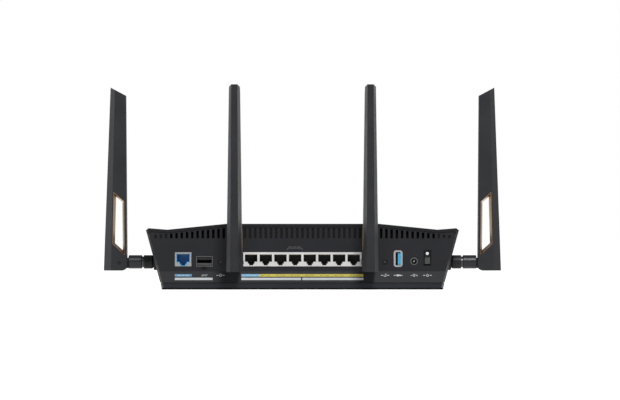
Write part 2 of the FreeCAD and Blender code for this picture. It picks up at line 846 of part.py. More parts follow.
def jack_shield(name, x, width, first, count, mouth_gap="0"):
    """Folded metal shell of an Ethernet jack: open at the back, keyed mouths in front."""
    body = doc.addObject("PartDesign::Body", name)
    wide = rectangle(around("0", width), around("0", "jack_height"))
    pad(body, body_sketch(body, "XZ_Plane", wide), "jack_depth")
    hollow = rectangle(around("0", f"{width} - sheet * 2"), around("0", "jack_height - sheet * 2"))
    pocket(body, body_sketch(body, "XZ_Plane", hollow, "sheet"), "jack_depth")
    mouth = body_sketch(body, "XZ_Plane", socket_outline(first, mouth_gap))
    opening = pocket(body, mouth, "sheet + 1")
    if count > 1:
        row(body, opening, mouth, "lan_pitch", count)
    return place(body, x, SOCKET_Y, "jack_z")


def jack_insert(name, x, width, first, count):
    """Moulded block inside an Ethernet shell, with a blind cavity for each plug."""
    body = doc.addObject("PartDesign::Body", name)
    inside = "sheet * 2 + insert_gap * 2"
    block = rectangle(around("0", f"{width} - ({inside})"), around("0", f"jack_height - ({inside})"))
    pad(body, body_sketch(body, "XZ_Plane", block, "sheet + insert_gap"),
        "jack_depth - sheet - insert_gap")
    mouth = body_sketch(body, "XZ_Plane", socket_outline(first), "sheet")
    cavity = pocket(body, mouth, "socket_depth")
    if count > 1:
        row(body, cavity, mouth, "lan_pitch", count)
    return place(body, x, SOCKET_Y, "jack_z")


def jack_contacts():
    """Sprung contact strips under the ceiling of every Ethernet socket."""
    centres = [WAN_X]
    centres += [f"({LAN_FIRST} + lan_pitch * {i})" for i in range(LAN_PORTS)]
    strips = []
    for centre in centres:
        for pin in range(PINS):
            x = f"({centre} + pin_pitch * {pin - (PINS - 1) / 2})"
            strips.append(box(around(x, "pin_width"),
                              (f"{SOCKET_Y} - sheet - socket_depth", f"{SOCKET_Y} - pin_front"),
                              ("jack_z + socket_top - pin_height * 2",
                               "jack_z + socket_top - pin_height")))
    return group(*strips)


def sfp_cage():
    """Open metal cage for a fibre module, with the latch tab under its mouth."""
    outer = box(around(SFP_X, "sfp_width"), (f"{SOCKET_Y} - sfp_depth", SOCKET_Y),
                around("sfp_z", "sfp_height"))
    room = box(around(SFP_X, "sfp_width - sfp_wall * 2"),
               (f"{SOCKET_Y} - sfp_depth + sfp_wall", f"{SOCKET_Y} + 1"),
               around("sfp_z", "sfp_height - sfp_wall * 2"))
    tab = box(around(SFP_X, "sfp_tab_width"), (f"{SOCKET_Y} - sfp_tab_root", f"{SOCKET_Y} + sfp_tab_reach"),
              ("sfp_z - sfp_height / 2 - sfp_tab_drop",
               "sfp_z - sfp_height / 2 - sfp_tab_drop + sfp_tab_sheet"))
    hook = box(around(SFP_X, "sfp_tab_width"), (f"{SOCKET_Y} - sfp_tab_root", f"{SOCKET_Y} - sfp_tab_root + sfp_tab_sheet"),
               ("sfp_z - sfp_height / 2 - sfp_tab_drop", "sfp_z - sfp_height / 2 + sfp_wall"))
    return fuse(cut(outer, room), tab, hook)


def rounded_block(x, z, front_y, grow, depth):
    """USB shell's outer form: a block with round long edges that runs back from front_y."""
    half_w = f"(usb_width / 2 - usb_corner)"
    half_h = f"(usb_height / 2 - usb_corner)"
    y = (f"{front_y} - ({depth})", front_y)
    parts = [
        box(around(x, f"usb_width + {grow} * 2"), y, around(z, f"{half_h} * 2")),
        box(around(x, f"{half_w} * 2"), y, around(z, f"usb_height + {grow} * 2")),
    ]
    for sign_x in "+-":
        for sign_z in "+-":
            start = (f"{x} {sign_x} {half_w}", f"{front_y} - ({depth})", f"{z} {sign_z} {half_h}")
            parts.append(rod("y", start, f"usb_corner + {grow}", depth))
    return fuse(*parts)


def usb_shell():
    """Flared metal shell of the upright USB socket."""
    block = rounded_block(USB_X, "usb_z", SOCKET_Y, "0", "usb_depth")
    mouth = box(around(USB_X, "usb_mouth_width"), (f"{SOCKET_Y} - usb_depth + usb_back", f"{SOCKET_Y} + 1"),
                around("usb_z", "usb_mouth_height"))
    return cut(block, mouth)


def usb_tongue():
    """Insulating tongue that carries the USB contacts, against one long side of the mouth."""
    low = f"{USB_X} - usb_mouth_width / 2"
    return box((low, f"{low} + usb_tongue"), (f"{SOCKET_Y} - usb_depth + usb_back", f"{SOCKET_Y} - usb_tongue_sink"),
               around("usb_z", "usb_mouth_height - 1"))


def dc_jack_body():
    """Barrel socket for the power lead: a round nose on a square block."""
    nose = rod("y", (DC_X, f"{INNER_WALL} - 1", "dc_z"), "dc_radius", "wall + 1 + jack_proud")
    block = box(around(DC_X, "dc_radius * 2.5"), (f"{SOCKET_Y} - dc_depth", f"{INNER_WALL} - 0.2"),
                ("board_top", "dc_z + dc_radius * 1.3"))
    bore = rod("y", (DC_X, f"{SOCKET_Y} - dc_bore_depth", "dc_z"), "dc_bore", "dc_bore_depth + 1")
    return cut(fuse(nose, block), bore)


def dc_jack_pin():
    """Centre pin of the power socket, with a rounded nose."""
    length = "(dc_bore_depth - dc_pin_sink)"
    start = f"{SOCKET_Y} - dc_bore_depth"
    stem = rod("y", (DC_X, start, "dc_z"), "dc_pin", f"{length} - 0.5")
    nose = cone("y", (DC_X, f"{start} + {length} - 0.5", "dc_z"), "dc_pin", "dc_pin * 0.5", "0.5")
    return fuse(stem, nose)


def switch_housing():
    """Frame and back of the rocker switch, with the two pivot holes."""
    rear = "(rear_wall - 0.1)"
    outer = box(around(SWITCH_X, "switch_width"), (f"{rear} - switch_depth", rear),
                around("switch_z", "switch_height"))
    room = box(around(SWITCH_X, "switch_width - switch_wall * 2"), (f"{rear} - rocker_room", f"{rear} + 1"),
               around("switch_z", "switch_height - switch_wall * 2"))
    pivot = rod("x", (f"{SWITCH_X} - switch_width", ROCKER_Y, "switch_z"),
                "rocker_pin + pin_gap", "switch_width * 2")
    return cut(outer, room, pivot)



def switch_rocker():
    """Two-faced rocker, tipped on its pivot so that its lower half stands out."""
    body = doc.addObject("PartDesign::Body", "switch_rocker")
    reach = "(rocker_crown + rocker_half * tan(rocker_tilt * 1deg))"
    width = "(switch_width - switch_wall * 2 - rocker_gap * 2)"
    face = [(reach, "rocker_half"), ("rocker_crown", "0"), (reach, "-rocker_half"),
            ("-1.6", "-rocker_half * 0.62"), ("-3.2", "-rocker_half * 0.3"),
            ("-3.2", "rocker_half * 0.3"), ("-1.6", "rocker_half * 0.62")]
    pad(body, body_sketch(body, "YZ_Plane", face, f"-{width} / 2"), width)
    pin = rod("x", ("-switch_width / 2 + 0.1", "0", "0"), "rocker_pin", "switch_width - 0.2")
    solid = fuse(body, pin)
    return place(solid, SWITCH_X, ROCKER_Y, "switch_z", ROCKER_REST)



def plunger(x, z, radius, gap, face, wall_y, inward):
    """A push button: cap, retaining flange behind the wall, and stem, along +Y or -Y."""
    flange = f"{wall_y} {inward} button_travel * 0.25"
    rear = f"{flange} {inward} flange_sheet"
    tip = f"{rear} {inward} stem_length"
    spans = [(face, flange, radius), (flange, rear, f"{radius} + {gap} + flange_step"),
             (rear, tip, "stem_radius")]
    steps = []
    for near, far, size in spans:
        low, high = (far, near) if inward == "-" else (near, far)
        steps.append(rod("y", (x, low, z), size, f"({high}) - ({low})"))
    return fuse(*steps)


def rear_button(x):
    """Recessed button in the port wall."""
    return plunger(x, "button_z", "button_radius", "button_gap",
                   "rear_wall - button_recess", INNER_WALL, "-")


def front_button(x):
    """Button that stands slightly proud of the front wall."""
    return plunger(x, "cap_z", "cap_radius", "cap_gap", f"{FRONT_Y} - cap_proud",
                   f"{FRONT_Y} + wall", "+")


# ---------------------------------------------------------------- inside the case

def main_board():
    """Stepped circuit board with its screw holes."""
    rear = f"({INNER_WALL} - board_gap)"
    step = "(rear_wall - board_step_back)"
    waist = "(rear_wall - board_nose_back)"
    half = [
        (f"({HALF} - board_inset)", rear),
        (f"({HALF} - board_inset)", step),
        (f"({HALF} - board_waist_inset)", step),
        (f"({HALF} - board_waist_inset)", waist),
        ("board_nose_width / 2", waist),
        ("board_nose_width / 2", f"({FRONT_Y} + board_front_gap)"),
    ]
    body = doc.addObject("PartDesign::Body", "main_board")
    pad(body, body_sketch(body, "XY_Plane", mirrored(half), BOARD_BOTTOM), "board_thickness")
    holes = [rod("z", (x, y, f"{BOARD_BOTTOM} - 1"), "screw_radius + screw_gap",
                 "board_thickness + 2") for x, y in BOARD_SPOTS]
    return cut(body, *holes)


def on_board(x, y, width, length, height):
    """A plain component on the board, centred on a spot."""
    return box(around(x, width), around(y, length), ("board_top", f"board_top + {height}"))


def edge_connector():
    """Connector at the far end of the fibre cage, with its slot."""
    block = box(around(SFP_X, "sfp_width - sfp_wall * 2 - 0.2"),
                (f"{SOCKET_Y} - sfp_depth + sfp_wall",
                 f"{SOCKET_Y} - sfp_depth + edge_connector_depth"),
                around("sfp_z", "sfp_height - sfp_wall * 2"))
    slot = box(around(SFP_X, "edge_slot_width"),
               (f"{SOCKET_Y} - sfp_depth + edge_slot_start",
                f"{SOCKET_Y} - sfp_depth + edge_connector_depth + 1"),
               around("sfp_z", "edge_slot_height"))
    return cut(block, slot)


def tact_switches():
    """Small switches that the four push buttons' stems reach."""
    throw = "(button_travel * 1.25 + flange_sheet + stem_length + tact_gap)"
    rear_y = f"({INNER_WALL} - {throw})"
    front_y = f"({FRONT_Y} + wall + {throw})"
    rears = [box(around(x, "tact_width"), (f"{rear_y} - tact_depth", rear_y),
                 ("board_top", "button_z + tact_rise")) for x in (WPS_X, RESET_X)]
    fronts = [box(around(x, "tact_width"), (front_y, f"{front_y} + front_tact_depth"),
                  ("board_top", "cap_z + tact_rise")) for x in ("wifi_x", "led_x")]
    return rears + fronts


def board_components():
    """Transformers, capacitors, chips, switches, lamps and the fibre connector."""
    made = [edge_connector(), *tact_switches()]
    coil = ("magnetics_width", "magnetics_length", "magnetics_height")
    for i in range(LAN_PORTS // 2):
        x = f"({LAN_FIRST} + lan_pitch * {2 * i + 0.5})"
        made.append(on_board(x, f"({SOCKET_Y} - jack_depth - magnetics_gap)", *coil))
    made.append(on_board(WAN_X, f"({SOCKET_Y} - jack_depth - magnetics_gap)",
                         "magnetics_width / 2", *coil[1:]))
    for x in (USB_X, DC_X):
        spot = (x, f"({SOCKET_Y} - usb_depth - capacitor_gap)", "board_top")
        made.append(rod("z", spot, "capacitor_radius", "capacitor_height"))
    for i in range(WINDOWS):
        x = f"(window_pitch * ({i} - {(WINDOWS - 1) / 2}))"
        made.append(on_board(x, f"({FRONT_Y} + board_front_gap + 2)",
                             "lamp_width", "lamp_length", "lamp_height"))
    for x, y in CHIP_SPOTS:
        made.append(on_board(str(x), str(y), "chip_width", "chip_width", "chip_height"))
    return group(*made)


def can(x, y, width, length):
    """A shielding can: a thin box that is open to the board."""
    lid = on_board(x, y, width, length, "shield_height")
    room = box(around(x, f"{width} - shield_sheet * 2"), around(y, f"{length} - shield_sheet * 2"),
               ("board_top - 1", "board_top + shield_height - shield_sheet"))
    return cut(lid, room)


def rf_shields():
    """Three shielding cans, two of them under the heat sink."""
    made = [can(str(x), str(y), "can_width", "can_length") for x, y in CAN_SPOTS]
    made.append(can("0", "front_can_y", "front_can_width", "front_can_length"))
    return group(*made)


def heatsinks():
    """Finned heat sink that spans the two main shielding cans."""
    body = doc.addObject("PartDesign::Body", "heatsinks")
    plate = rectangle(around("0", "sink_width"), ("0", "sink_base"))
    pad(body, body_sketch(body, "XZ_Plane", plate), "sink_length")
    first = f"(-fin_pitch * {FINS - 1} / 2)"
    fin = body_sketch(body, "XZ_Plane", rectangle(around(first, "fin_thickness"),
                                                  ("sink_base / 2", "sink_height")))
    row(body, pad(body, fin, "sink_length"), fin, "fin_pitch", FINS)
    return place(body, "0", f"sink_length / 2 + {CAN_SPOTS[0][1]}", "board_top + shield_height")


def light_guide():
    """Clear bar behind the front wall, with a tooth in every window."""
    bar = box(around("0", f"window_pitch * {WINDOWS}"),
              (f"{FRONT_Y} + wall", f"{FRONT_Y} + wall + guide_depth"), around("window_z", "3"))
    teeth = []
    for i in range(WINDOWS):
        x = f"(window_pitch * ({i} - {(WINDOWS - 1) / 2}))"
        teeth.append(box(around(x, "window_width - port_gap"), (FRONT_Y, f"{FRONT_Y} + wall + 1"),
                         around("window_z", "window_height - port_gap")))
    return fuse(bar, *teeth)


# ---------------------------------------------------------------- antenna connectors

def antenna_jacks():
    """Four threaded sockets through the collars, each with its washer inside the case."""
    seat = "(-side_boss_length - washer_gap)"
    washer = f"({seat} - washer_sheet)"
    root = f"({washer} - jack_tail)"
    jack = turned("antenna_jack", [
        (root, "0"), (root, "jack_tail_radius"), (washer, "jack_tail_radius"),
        (washer, "washer_radius"), (seat, "washer_radius"), (seat, "thread_radius"),
        ("thread_length - 0.4", "thread_radius"),
        ("thread_length", "thread_radius - 0.4"), ("thread_length", "jack_bore"),
        ("1", "jack_bore"), ("1", "0.4"), ("3.6", "0.4"), ("3.6", "0"),
    ])
    return group(*at_antennas(jack))


def coax_leads():
    """Thin leads from the antenna sockets down to their plugs on the board."""
    drop = "(port_axis - board_top - lead_plug_height)"
    tail_end = "(side_boss_length + washer_gap + washer_sheet + jack_tail)"
    run = rod("x", ("lead_bend - lead_reach", "0", "0"), "lead_radius",
              f"lead_reach - lead_bend - {tail_end}")
    elbow = doc.addObject("Part::Torus", "elbow")
    bind(elbow, Radius1="lead_bend", Radius2="lead_radius")
    elbow.Angle3 = 90
    place(elbow, "lead_bend - lead_reach", "0", "-lead_bend",
          Rotation(Vector(0, 1, 0), Vector(0, 0, 1), Vector(1, 0, 0), "XYZ"))
    fall = rod("z", ("-lead_reach", "0", f"-{drop}"), "lead_radius", f"{drop} - lead_bend")
    plug = rod("z", ("-lead_reach", "0", f"-{drop} - lead_plug_height"), "lead_plug_radius",
               "lead_plug_height")
    return group(*at_antennas(fuse(run, elbow, fall, plug)))


NUT_END = "(nut_gap + nut_length)"
BARREL_START = f"({NUT_END} + groove_width)"
BARREL_END = f"({BARREL_START} + barrel_length)"
HINGE_X = f"({BARREL_END} + blade_gap + blade_heel)"
HINGE_Z = "(-hinge_drop)"
SHANK_END = f"({BARREL_START} + shank_bite)"
LIP_START = f"({NUT_END} - nut_lip)"


def antenna_nut():
    """Knurled coupling nut, chamfered towards the case."""
    body = turned("nut", [
        ("nut_gap", "thread_radius + pin_gap"), ("nut_gap", "nut_radius - nut_chamfer"),
        ("nut_gap + nut_chamfer", "nut_radius"), (f"{NUT_END} - 0.4", "nut_radius"),
        (NUT_END, "nut_radius - 0.4"), (NUT_END, "shank_radius + pin_gap"),
        (LIP_START, "shank_radius + pin_gap"), (LIP_START, "nut_chamber"),
        ("thread_length + 0.2", "nut_chamber"), ("thread_length + 0.2", "thread_radius + pin_gap"),
    ])
    notch = body_sketch(body, "YZ_Plane", [
        ("-knurl_depth * 0.9", "nut_radius + 0.1"), ("knurl_depth * 0.9", "nut_radius + 0.1"),
        ("0", "nut_radius - knurl_depth"),
    ], "nut_gap + nut_chamfer")
    groove = pocket(body, notch, "nut_length - nut_chamfer - 1.6")
    knurl = body.newObject("PartDesign::PolarPattern", "knurl")
    knurl.Originals = [groove]
    axis = next(item for item in body.Origin.OriginFeatures if item.Role == "X_Axis")
    knurl.Axis = (axis, [""])
    knurl.Angle = 360
    knurl.Occurrences = KNURLS
    body.Tip = knurl
    return body


def antenna_plug():
    """Plug that the nut draws onto the socket; the barrel turns on its shank."""
    flange = f"({LIP_START} - 0.1)"
    bead = f"({SHANK_END} - 2)"
    return turned("plug", [
        ("thread_length - 2", "0.6"), ("thread_length - 2", "jack_bore - 0.15"),
        (f"{flange} - flange_width", "jack_bore - 0.15"), (f"{flange} - flange_width", "flange_radius"),
        (flange, "flange_radius"), (flange, "shank_radius"),
        (f"{NUT_END} + 0.15", "shank_radius"), (f"{NUT_END} + 0.15", "collar_neck"),
        (f"{BARREL_START} - 0.15", "collar_neck"), (f"{BARREL_START} - 0.15", "shank_radius"),
        (bead, "shank_radius"), (f"{bead} + 0.5", "shank_radius + bead_height"),
        (f"{bead} + 1.2", "shank_radius + bead_height"), (f"{bead} + 1.7", "shank_radius"),
        (SHANK_END, "shank_radius"), (SHANK_END, "0.6"),
    ])


def antenna_barrel():
    """Swivelling barrel, hollow for the plug's shank, with the hinge tongue at its far end."""
    bead = f"({SHANK_END} - 2)"
    bore = "(shank_radius + pin_gap)"
    shell = turned("barrel_shell", [
        (BARREL_START, bore), (BARREL_START, "barrel_radius - barrel_chamfer"),
        (f"{BARREL_START} + barrel_chamfer", "barrel_radius"),
        (f"{BARREL_END} - barrel_chamfer", "barrel_radius"),
        (BARREL_END, "barrel_radius - barrel_chamfer"), (BARREL_END, "0"),
        (f"{SHANK_END} + 0.3", "0"), (f"{SHANK_END} + 0.3", bore),
        (f"{bead} + 1.8", bore), (f"{bead} + 1.3", f"{bore} + bead_height"),
        (f"{bead} + 0.4", f"{bore} + bead_height"), (f"{bead} - 0.1", bore),
    ])
    thick = around("0", "tongue_width")
    web = box((f"{BARREL_END} - 1", HINGE_X), thick, around(HINGE_Z, "tongue_radius * 2"))
    knuckle = rod("y", (HINGE_X, thick[0], HINGE_Z), "tongue_radius", "tongue_width")
    hole = rod("y", (HINGE_X, "-tongue_width", HINGE_Z), "hinge_radius + pin_gap", "tongue_width * 2")
    return cut(fuse(shell, web, knuckle), hole)


# ---------------------------------------------------------------- antenna blade

BLADE_BOTTOM = f"({HINGE_Z} - blade_heel)"
BLADE_TOP = f"({BLADE_BOTTOM} + blade_length)"


def inner_edge(up):
    """X of the blade's inner edge at a height above its bottom."""
    return f"({HINGE_X} - blade_heel + inner_lean * ({up}) / blade_length)"


def outer_edge(up):
    """X of the blade's outer edge at a height above its bottom."""
    return f"({HINGE_X} - blade_heel + blade_width - outer_lean * ({up}) / blade_length)"


def half_thick(up):
    return f"((blade_thickness - thickness_lean * ({up}) / blade_length) / 2)"


def facet(up):
    """Width, along X, of the bevels beside the blade's outer edge."""
    return f"(facet_width - facet_lean * ({up}) / blade_length)"


def blade_section(up):
    """Six-sided section of the blade at a height above its bottom."""
    inner, outer, half = inner_edge(up), outer_edge(up), half_thick(up)
    bevel = f"({outer} - {facet(up)})"
    edge = f"({half} - facet_ratio * {facet(up)})"
    points = [(inner, minus(half)), (bevel, minus(half)), (outer, minus(edge)),
              (outer, edge), (bevel, half), (inner, half)]
    return outline(points, Rotation(), z=f"{BLADE_BOTTOM} + {up}")


def blade_block():
    """Whole blade before it is split: tapered, with a slanting tip and a rounded heel."""
    solid = loft(blade_section("0"), blade_section("blade_length"))
    inner, outer = inner_edge("blade_length"), outer_edge("blade_length")
    tip = outline([
        (f"{inner} - 10", f"{BLADE_TOP} - tip_slope * ({outer} - {inner} + 10)"),
        (f"{outer} + 10", f"{BLADE_TOP} + tip_slope * 10"),
        (f"{inner} - 10", f"{BLADE_TOP} + tip_slope * 10"),
    ], UPRIGHT)
    low_x, low_z = inner_edge("0"), BLADE_BOTTOM
    span = around("0", "blade_thickness * 2")
    corner = box((f"{low_x} - 1", f"{low_x} + heel_radius"), span,
                 (f"{low_z} - 1", f"{low_z} + heel_radius"))
    round_tool = rod("y", (f"{low_x} + heel_radius", span[0], f"{low_z} + heel_radius"),
                     "heel_radius", "blade_thickness * 2")
    return cut(solid, prism(tip, "blade_thickness * 2"), cut(corner, round_tool))


def window_outline(inset):
    """Corners of the leaning window, moved in from its edges by inset."""
    low, high = "window_low", "window_high"
    shift = f"({inset}) * sqrt(1 + window_slope ^ 2)"
    corners = []
    for up, lift in ((low, shift), (high, f"-{shift}")):
        left = f"({inner_edge(up)} + window_margin)"
        right = f"({outer_edge(up)} - {facet(up)} - window_bevel_gap)"
        near = f"({BLADE_BOTTOM} + {up} + {lift} + window_slope * ({inset}))"
        far = f"({BLADE_BOTTOM} + {up} + {lift} + window_slope * ({right} - {left} - ({inset})))"
        corners.append(((f"{left} + {inset}", near), (f"{right} - {inset}", far)))
    (low_left, low_right), (high_left, high_right) = corners
    return [low_left, low_right, high_right, high_left]


def radiator_outline(grow):
    """Flat conductor: a wide plate above the window and a strip that runs down beside it."""
    low, shoulder, high = "radiator_low", "radiator_shoulder", "radiator_high"

    def right(up):
        return f"({outer_edge(up)} - radiator_margin + {grow})"

    def strip(up):
        return f"({outer_edge(up)} - radiator_strip - {grow})"

    def left(up):
        return f"({inner_edge(up)} + radiator_margin - {grow})"

    low_z = f"{BLADE_BOTTOM} + {low} - {grow}"
    shoulder_z = f"{BLADE_BOTTOM} + {shoulder} - {grow}"
    high_z = f"{BLADE_BOTTOM} + {high} + {grow}"
    return [(right(low), low_z), (right(high), high_z), (left(high), high_z),
            (left(shoulder), shoulder_z), (strip(shoulder), shoulder_z), (strip(low), low_z)]


def hinge_bores(cover):
    """Tools for the hinge screw: a plain bore, and the head's recess in the cover shell."""
    start = (HINGE_X, "-blade_thickness / 2 + 1.5", HINGE_Z)
    bore = rod("y", start, "hinge_radius + shank_gap", "blade_thickness")
    if not cover:
        return [rod("y", start, "hinge_radius + shank_gap", "blade_thickness / 2")]
    seat = f"({half_thick('blade_heel')} - hinge_sink - 1.6)"
    recess = rod("y", (HINGE_X, seat, HINGE_Z), "hinge_recess", "blade_thickness")
    return [bore, recess]


def blade_shell(block, cover):
    """One half of the blade, hollowed for the hinge tongue, the window and the radiator."""
    far = "blade_thickness * 2"
    away = (minus(far), "0") if cover else ("0", far)
    other_half = box(("0", "blade_length"), away, (minus("blade_length"), "blade_length * 2"))
    reach = "tongue_radius + slot_gap"
    slot = box((f"{inner_edge('0')} - 5", f"{HINGE_X} + {reach}"), around("0", "slot_width"),
               (f"{BLADE_BOTTOM} - 5", f"{HINGE_Z} + {reach}"))
    window = prism(outline(window_outline("0"), UPRIGHT), far)
    cavity = prism(outline(radiator_outline("cavity_gap"), UPRIGHT), "cavity_width")
    return cut(block, other_half, slot, window, cavity, *hinge_bores(cover))


def window_trim(block):
    """Bevelled metal frame that lines the blade's window from face to face."""
    liner = prism(outline(window_outline("trim_gap"), UPRIGHT), "blade_thickness * 2")
    core = prism(outline(window_outline("trim_width"), UPRIGHT), "blade_thickness * 2")
    funnels = []
    for sign in ("", "-"):
        mouth = outline(window_outline("trim_lip"), UPRIGHT, y=f"{sign}(blade_thickness / 2)")
        throat = outline(window_outline("trim_width"), UPRIGHT, y=f"{sign}0.8")
        funnels.append(loft(mouth, throat))
    return cut(common(liner, block), core, *funnels)


def hinge_screw():
    """Screw through both shells and the tongue, with its head sunk in the cover shell."""
    start = "(-blade_thickness / 2 + 1.7)"
    seat = f"({half_thick('blade_heel')} - hinge_sink - 1.6)"
    shank = rod("y", (HINGE_X, start, HINGE_Z), "hinge_radius", f"{seat} - {start}")
    head = rod("y", (HINGE_X, seat, HINGE_Z), "hinge_head", "1.6")
    slot = box(around(HINGE_X, "hinge_head * 1.3"), (f"{seat} + 1", f"{seat} + 3"),
               around(HINGE_Z, "0.5"))
    return cut(fuse(shank, head), slot)


def antennas():
    """Every piece of the four antennas, drawn once each and placed four times."""
    block = blade_block()
    masters = {
        "nut": antenna_nut(),
        "plug": antenna_plug(),
        "barrel": antenna_barrel(),
        "cover_shell": blade_shell(block, True),
        "base_shell": blade_shell(block, False),
        "window_trim": window_trim(block),
        "hinge_screw": hinge_screw(),
        "radiator": prism(outline(radiator_outline("0"), UPRIGHT), "radiator_thickness"),
    }
    placed = {}
    for piece, master in masters.items():
        for antenna, copy in zip(ANTENNAS, at_antennas(master)):
            placed[f"{antenna}_{piece}"] = copy
    return placed


# ---------------------------------------------------------------- the whole router

def build():
    """Model every node; the key is the node's name."""
    nodes = {
        "top_cover": top_cover(),
        "middle_frame": middle_frame(),
        "bottom_cover": bottom_cover(),
        "wan_jack_shield": jack_shield("wan_shield", WAN_X, "wan_width", "0", 1, "wan_mouth_gap"),
        "wan_jack_insert": jack_insert("wan_insert", WAN_X, "wan_width", "0", 1),
        "lan_jack_shield": jack_shield("lan_shield", "0", LAN_WIDTH, LAN_FIRST, LAN_PORTS),
        "lan_jack_insert": jack_insert("lan_insert", "0", LAN_WIDTH, LAN_FIRST, LAN_PORTS),
        "jack_contacts": jack_contacts(),
        "sfp_cage": sfp_cage(),
        "usb_shell": usb_shell(),
        "usb_tongue": usb_tongue(),
        "dc_jack_body": dc_jack_body(),
        "dc_jack_pin": dc_jack_pin(),
        "switch_housing": switch_housing(),
        "switch_rocker": switch_rocker(),
        "reset_button": rear_button(RESET_X),
        "wps_button": rear_button(WPS_X),
        "wifi_button": front_button("wifi_x"),
        "led_button": front_button("led_x"),
        "main_board": main_board(),
        "board_components": board_components(),
        "rf_shields": rf_shields(),
        "heatsinks": heatsinks(),
        "antenna_jacks": antenna_jacks(),
        "coax_leads": coax_leads(),
        "light_guide": light_guide(),
        "rubber_feet": rubber_feet(),
        "screws": screws(),
    }
    nodes.update(antennas())
    for name, node in nodes.items():
        node.Label = name
    return nodes


def check(nodes):
    """Stop if any feature failed, or if a node's shape is null or invalid."""
    for thing in doc.Objects:
        if {"Invalid", "Error"} & set(thing.State):
            raise RuntimeError(f"{thing.Name} ({thing.Label}) failed: {thing.State}")
    for name, node in nodes.items():
        if node.Shape.isNull() or not node.Shape.isValid() or not node.Shape.Solids:
            raise RuntimeError(f"{name} has no valid solid")


def export(nodes):
    """Write one STEP file for each node."""
    os.makedirs("parts", exist_ok=True)
    for name, node in nodes.items():
        node.Shape.exportStep(f"parts/{name}.step")


fill_sheet()
NODES = build()
doc.recompute()
check(NODES)
export(NODES)
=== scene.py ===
import math

import bmesh
import bpy
from mathutils import Matrix, Vector
from mathutils.bvhtree import BVHTree


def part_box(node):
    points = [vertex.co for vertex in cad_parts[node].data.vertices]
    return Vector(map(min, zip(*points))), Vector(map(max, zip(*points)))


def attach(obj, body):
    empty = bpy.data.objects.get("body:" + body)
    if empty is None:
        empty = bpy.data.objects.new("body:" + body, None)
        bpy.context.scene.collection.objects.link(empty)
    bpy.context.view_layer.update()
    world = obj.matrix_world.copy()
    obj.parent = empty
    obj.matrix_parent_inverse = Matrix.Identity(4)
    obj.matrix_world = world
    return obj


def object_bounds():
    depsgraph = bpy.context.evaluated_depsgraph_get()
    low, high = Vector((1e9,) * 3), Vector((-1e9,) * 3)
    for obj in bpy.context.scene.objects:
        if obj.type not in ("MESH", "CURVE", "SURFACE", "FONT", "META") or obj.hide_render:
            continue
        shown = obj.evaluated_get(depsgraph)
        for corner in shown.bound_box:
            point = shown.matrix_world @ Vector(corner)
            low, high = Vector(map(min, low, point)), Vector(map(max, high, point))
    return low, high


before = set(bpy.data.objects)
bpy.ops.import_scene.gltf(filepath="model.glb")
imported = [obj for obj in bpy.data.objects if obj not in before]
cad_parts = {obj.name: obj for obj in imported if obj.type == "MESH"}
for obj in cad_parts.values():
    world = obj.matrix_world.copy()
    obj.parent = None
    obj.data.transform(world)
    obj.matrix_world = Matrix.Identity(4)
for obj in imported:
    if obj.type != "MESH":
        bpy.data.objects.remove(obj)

MM = 0.001
ANTENNAS = ("right_side", "left_side", "rear_right", "rear_left")

cad_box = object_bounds()


# Materials: each one has its own fine grain and its own slow change of tone and polish.


def new_material(name):
    """A node material, its tree and its shader."""
    material = bpy.data.materials.new(name)
    material.use_nodes = True
    tree = material.node_tree
    return material, tree, tree.nodes["Principled BSDF"]


def cloud(tree, scale, detail=3.0, stretch=(1, 1, 1)):
    """Noise in the piece's own space; scale is in features per metre."""
    place = tree.nodes.new("ShaderNodeTexCoord")
    mapping = tree.nodes.new("ShaderNodeMapping")
    mapping.inputs["Scale"].default_value = stretch
    noise = tree.nodes.new("ShaderNodeTexNoise")
    noise.inputs["Scale"].default_value = scale
    noise.inputs["Detail"].default_value = detail
    tree.links.new(place.outputs["Object"], mapping.inputs["Vector"])
    tree.links.new(mapping.outputs["Vector"], noise.inputs["Vector"])
    return noise.outputs["Fac"]


def tone(tree, factor, low, high):
    """A colour that goes from low to high as the factor rises."""
    ramp = tree.nodes.new("ShaderNodeValToRGB")
    ramp.color_ramp.elements[0].position = 0.3
    ramp.color_ramp.elements[1].position = 0.7
    ramp.color_ramp.elements[0].color = (*low, 1)
    ramp.color_ramp.elements[1].color = (*high, 1)
    tree.links.new(factor, ramp.inputs["Fac"])
    return ramp.outputs["Color"]


def spread(tree, factor, low, high):
    """A number that goes from low to high as the factor rises."""
    ranged = tree.nodes.new("ShaderNodeMapRange")
    ranged.inputs["From Min"].default_value = 0.3
    ranged.inputs["From Max"].default_value = 0.7
    ranged.inputs["To Min"].default_value = low
    ranged.inputs["To Max"].default_value = high
    tree.links.new(factor, ranged.inputs["Value"])
    return ranged.outputs["Result"]


def relief(tree, factor, depth, strength, shader):
    """Fine grain that the light catches; depth is in millimetres."""
    bump = tree.nodes.new("ShaderNodeBump")
    bump.inputs["Strength"].default_value = strength
    bump.inputs["Distance"].default_value = depth * MM
    tree.links.new(factor, bump.inputs["Height"])
    tree.links.new(bump.outputs["Normal"], shader.inputs["Normal"])


def surface(
    name,
    colour,
    rough,
    metal=0.0,
    gloss=0.5,
    change=0.08,
    patch=45,
    grain=2200,
    depth=0.03,
    strength=0.25,
    stretch=(1, 1, 1),
):
    """A moulded, pressed or turned surface of one colour."""
    material, tree, shader = new_material(name)
    slow = cloud(tree, patch, 4.0, stretch)
    low = tuple(level * (1 - change) for level in colour)
    high = tuple(min(1.0, level * (1 + change)) for level in colour)
    tree.links.new(tone(tree, slow, low, high), shader.inputs["Base Color"])
    polish = spread(tree, slow, rough - 0.04, rough + 0.04)
    tree.links.new(polish, shader.inputs["Roughness"])
    shader.inputs["Metallic"].default_value = metal
    shader.inputs["Specular IOR Level"].default_value = gloss
    relief(tree, cloud(tree, grain, 2.0, stretch), depth, strength, shader)
    return material


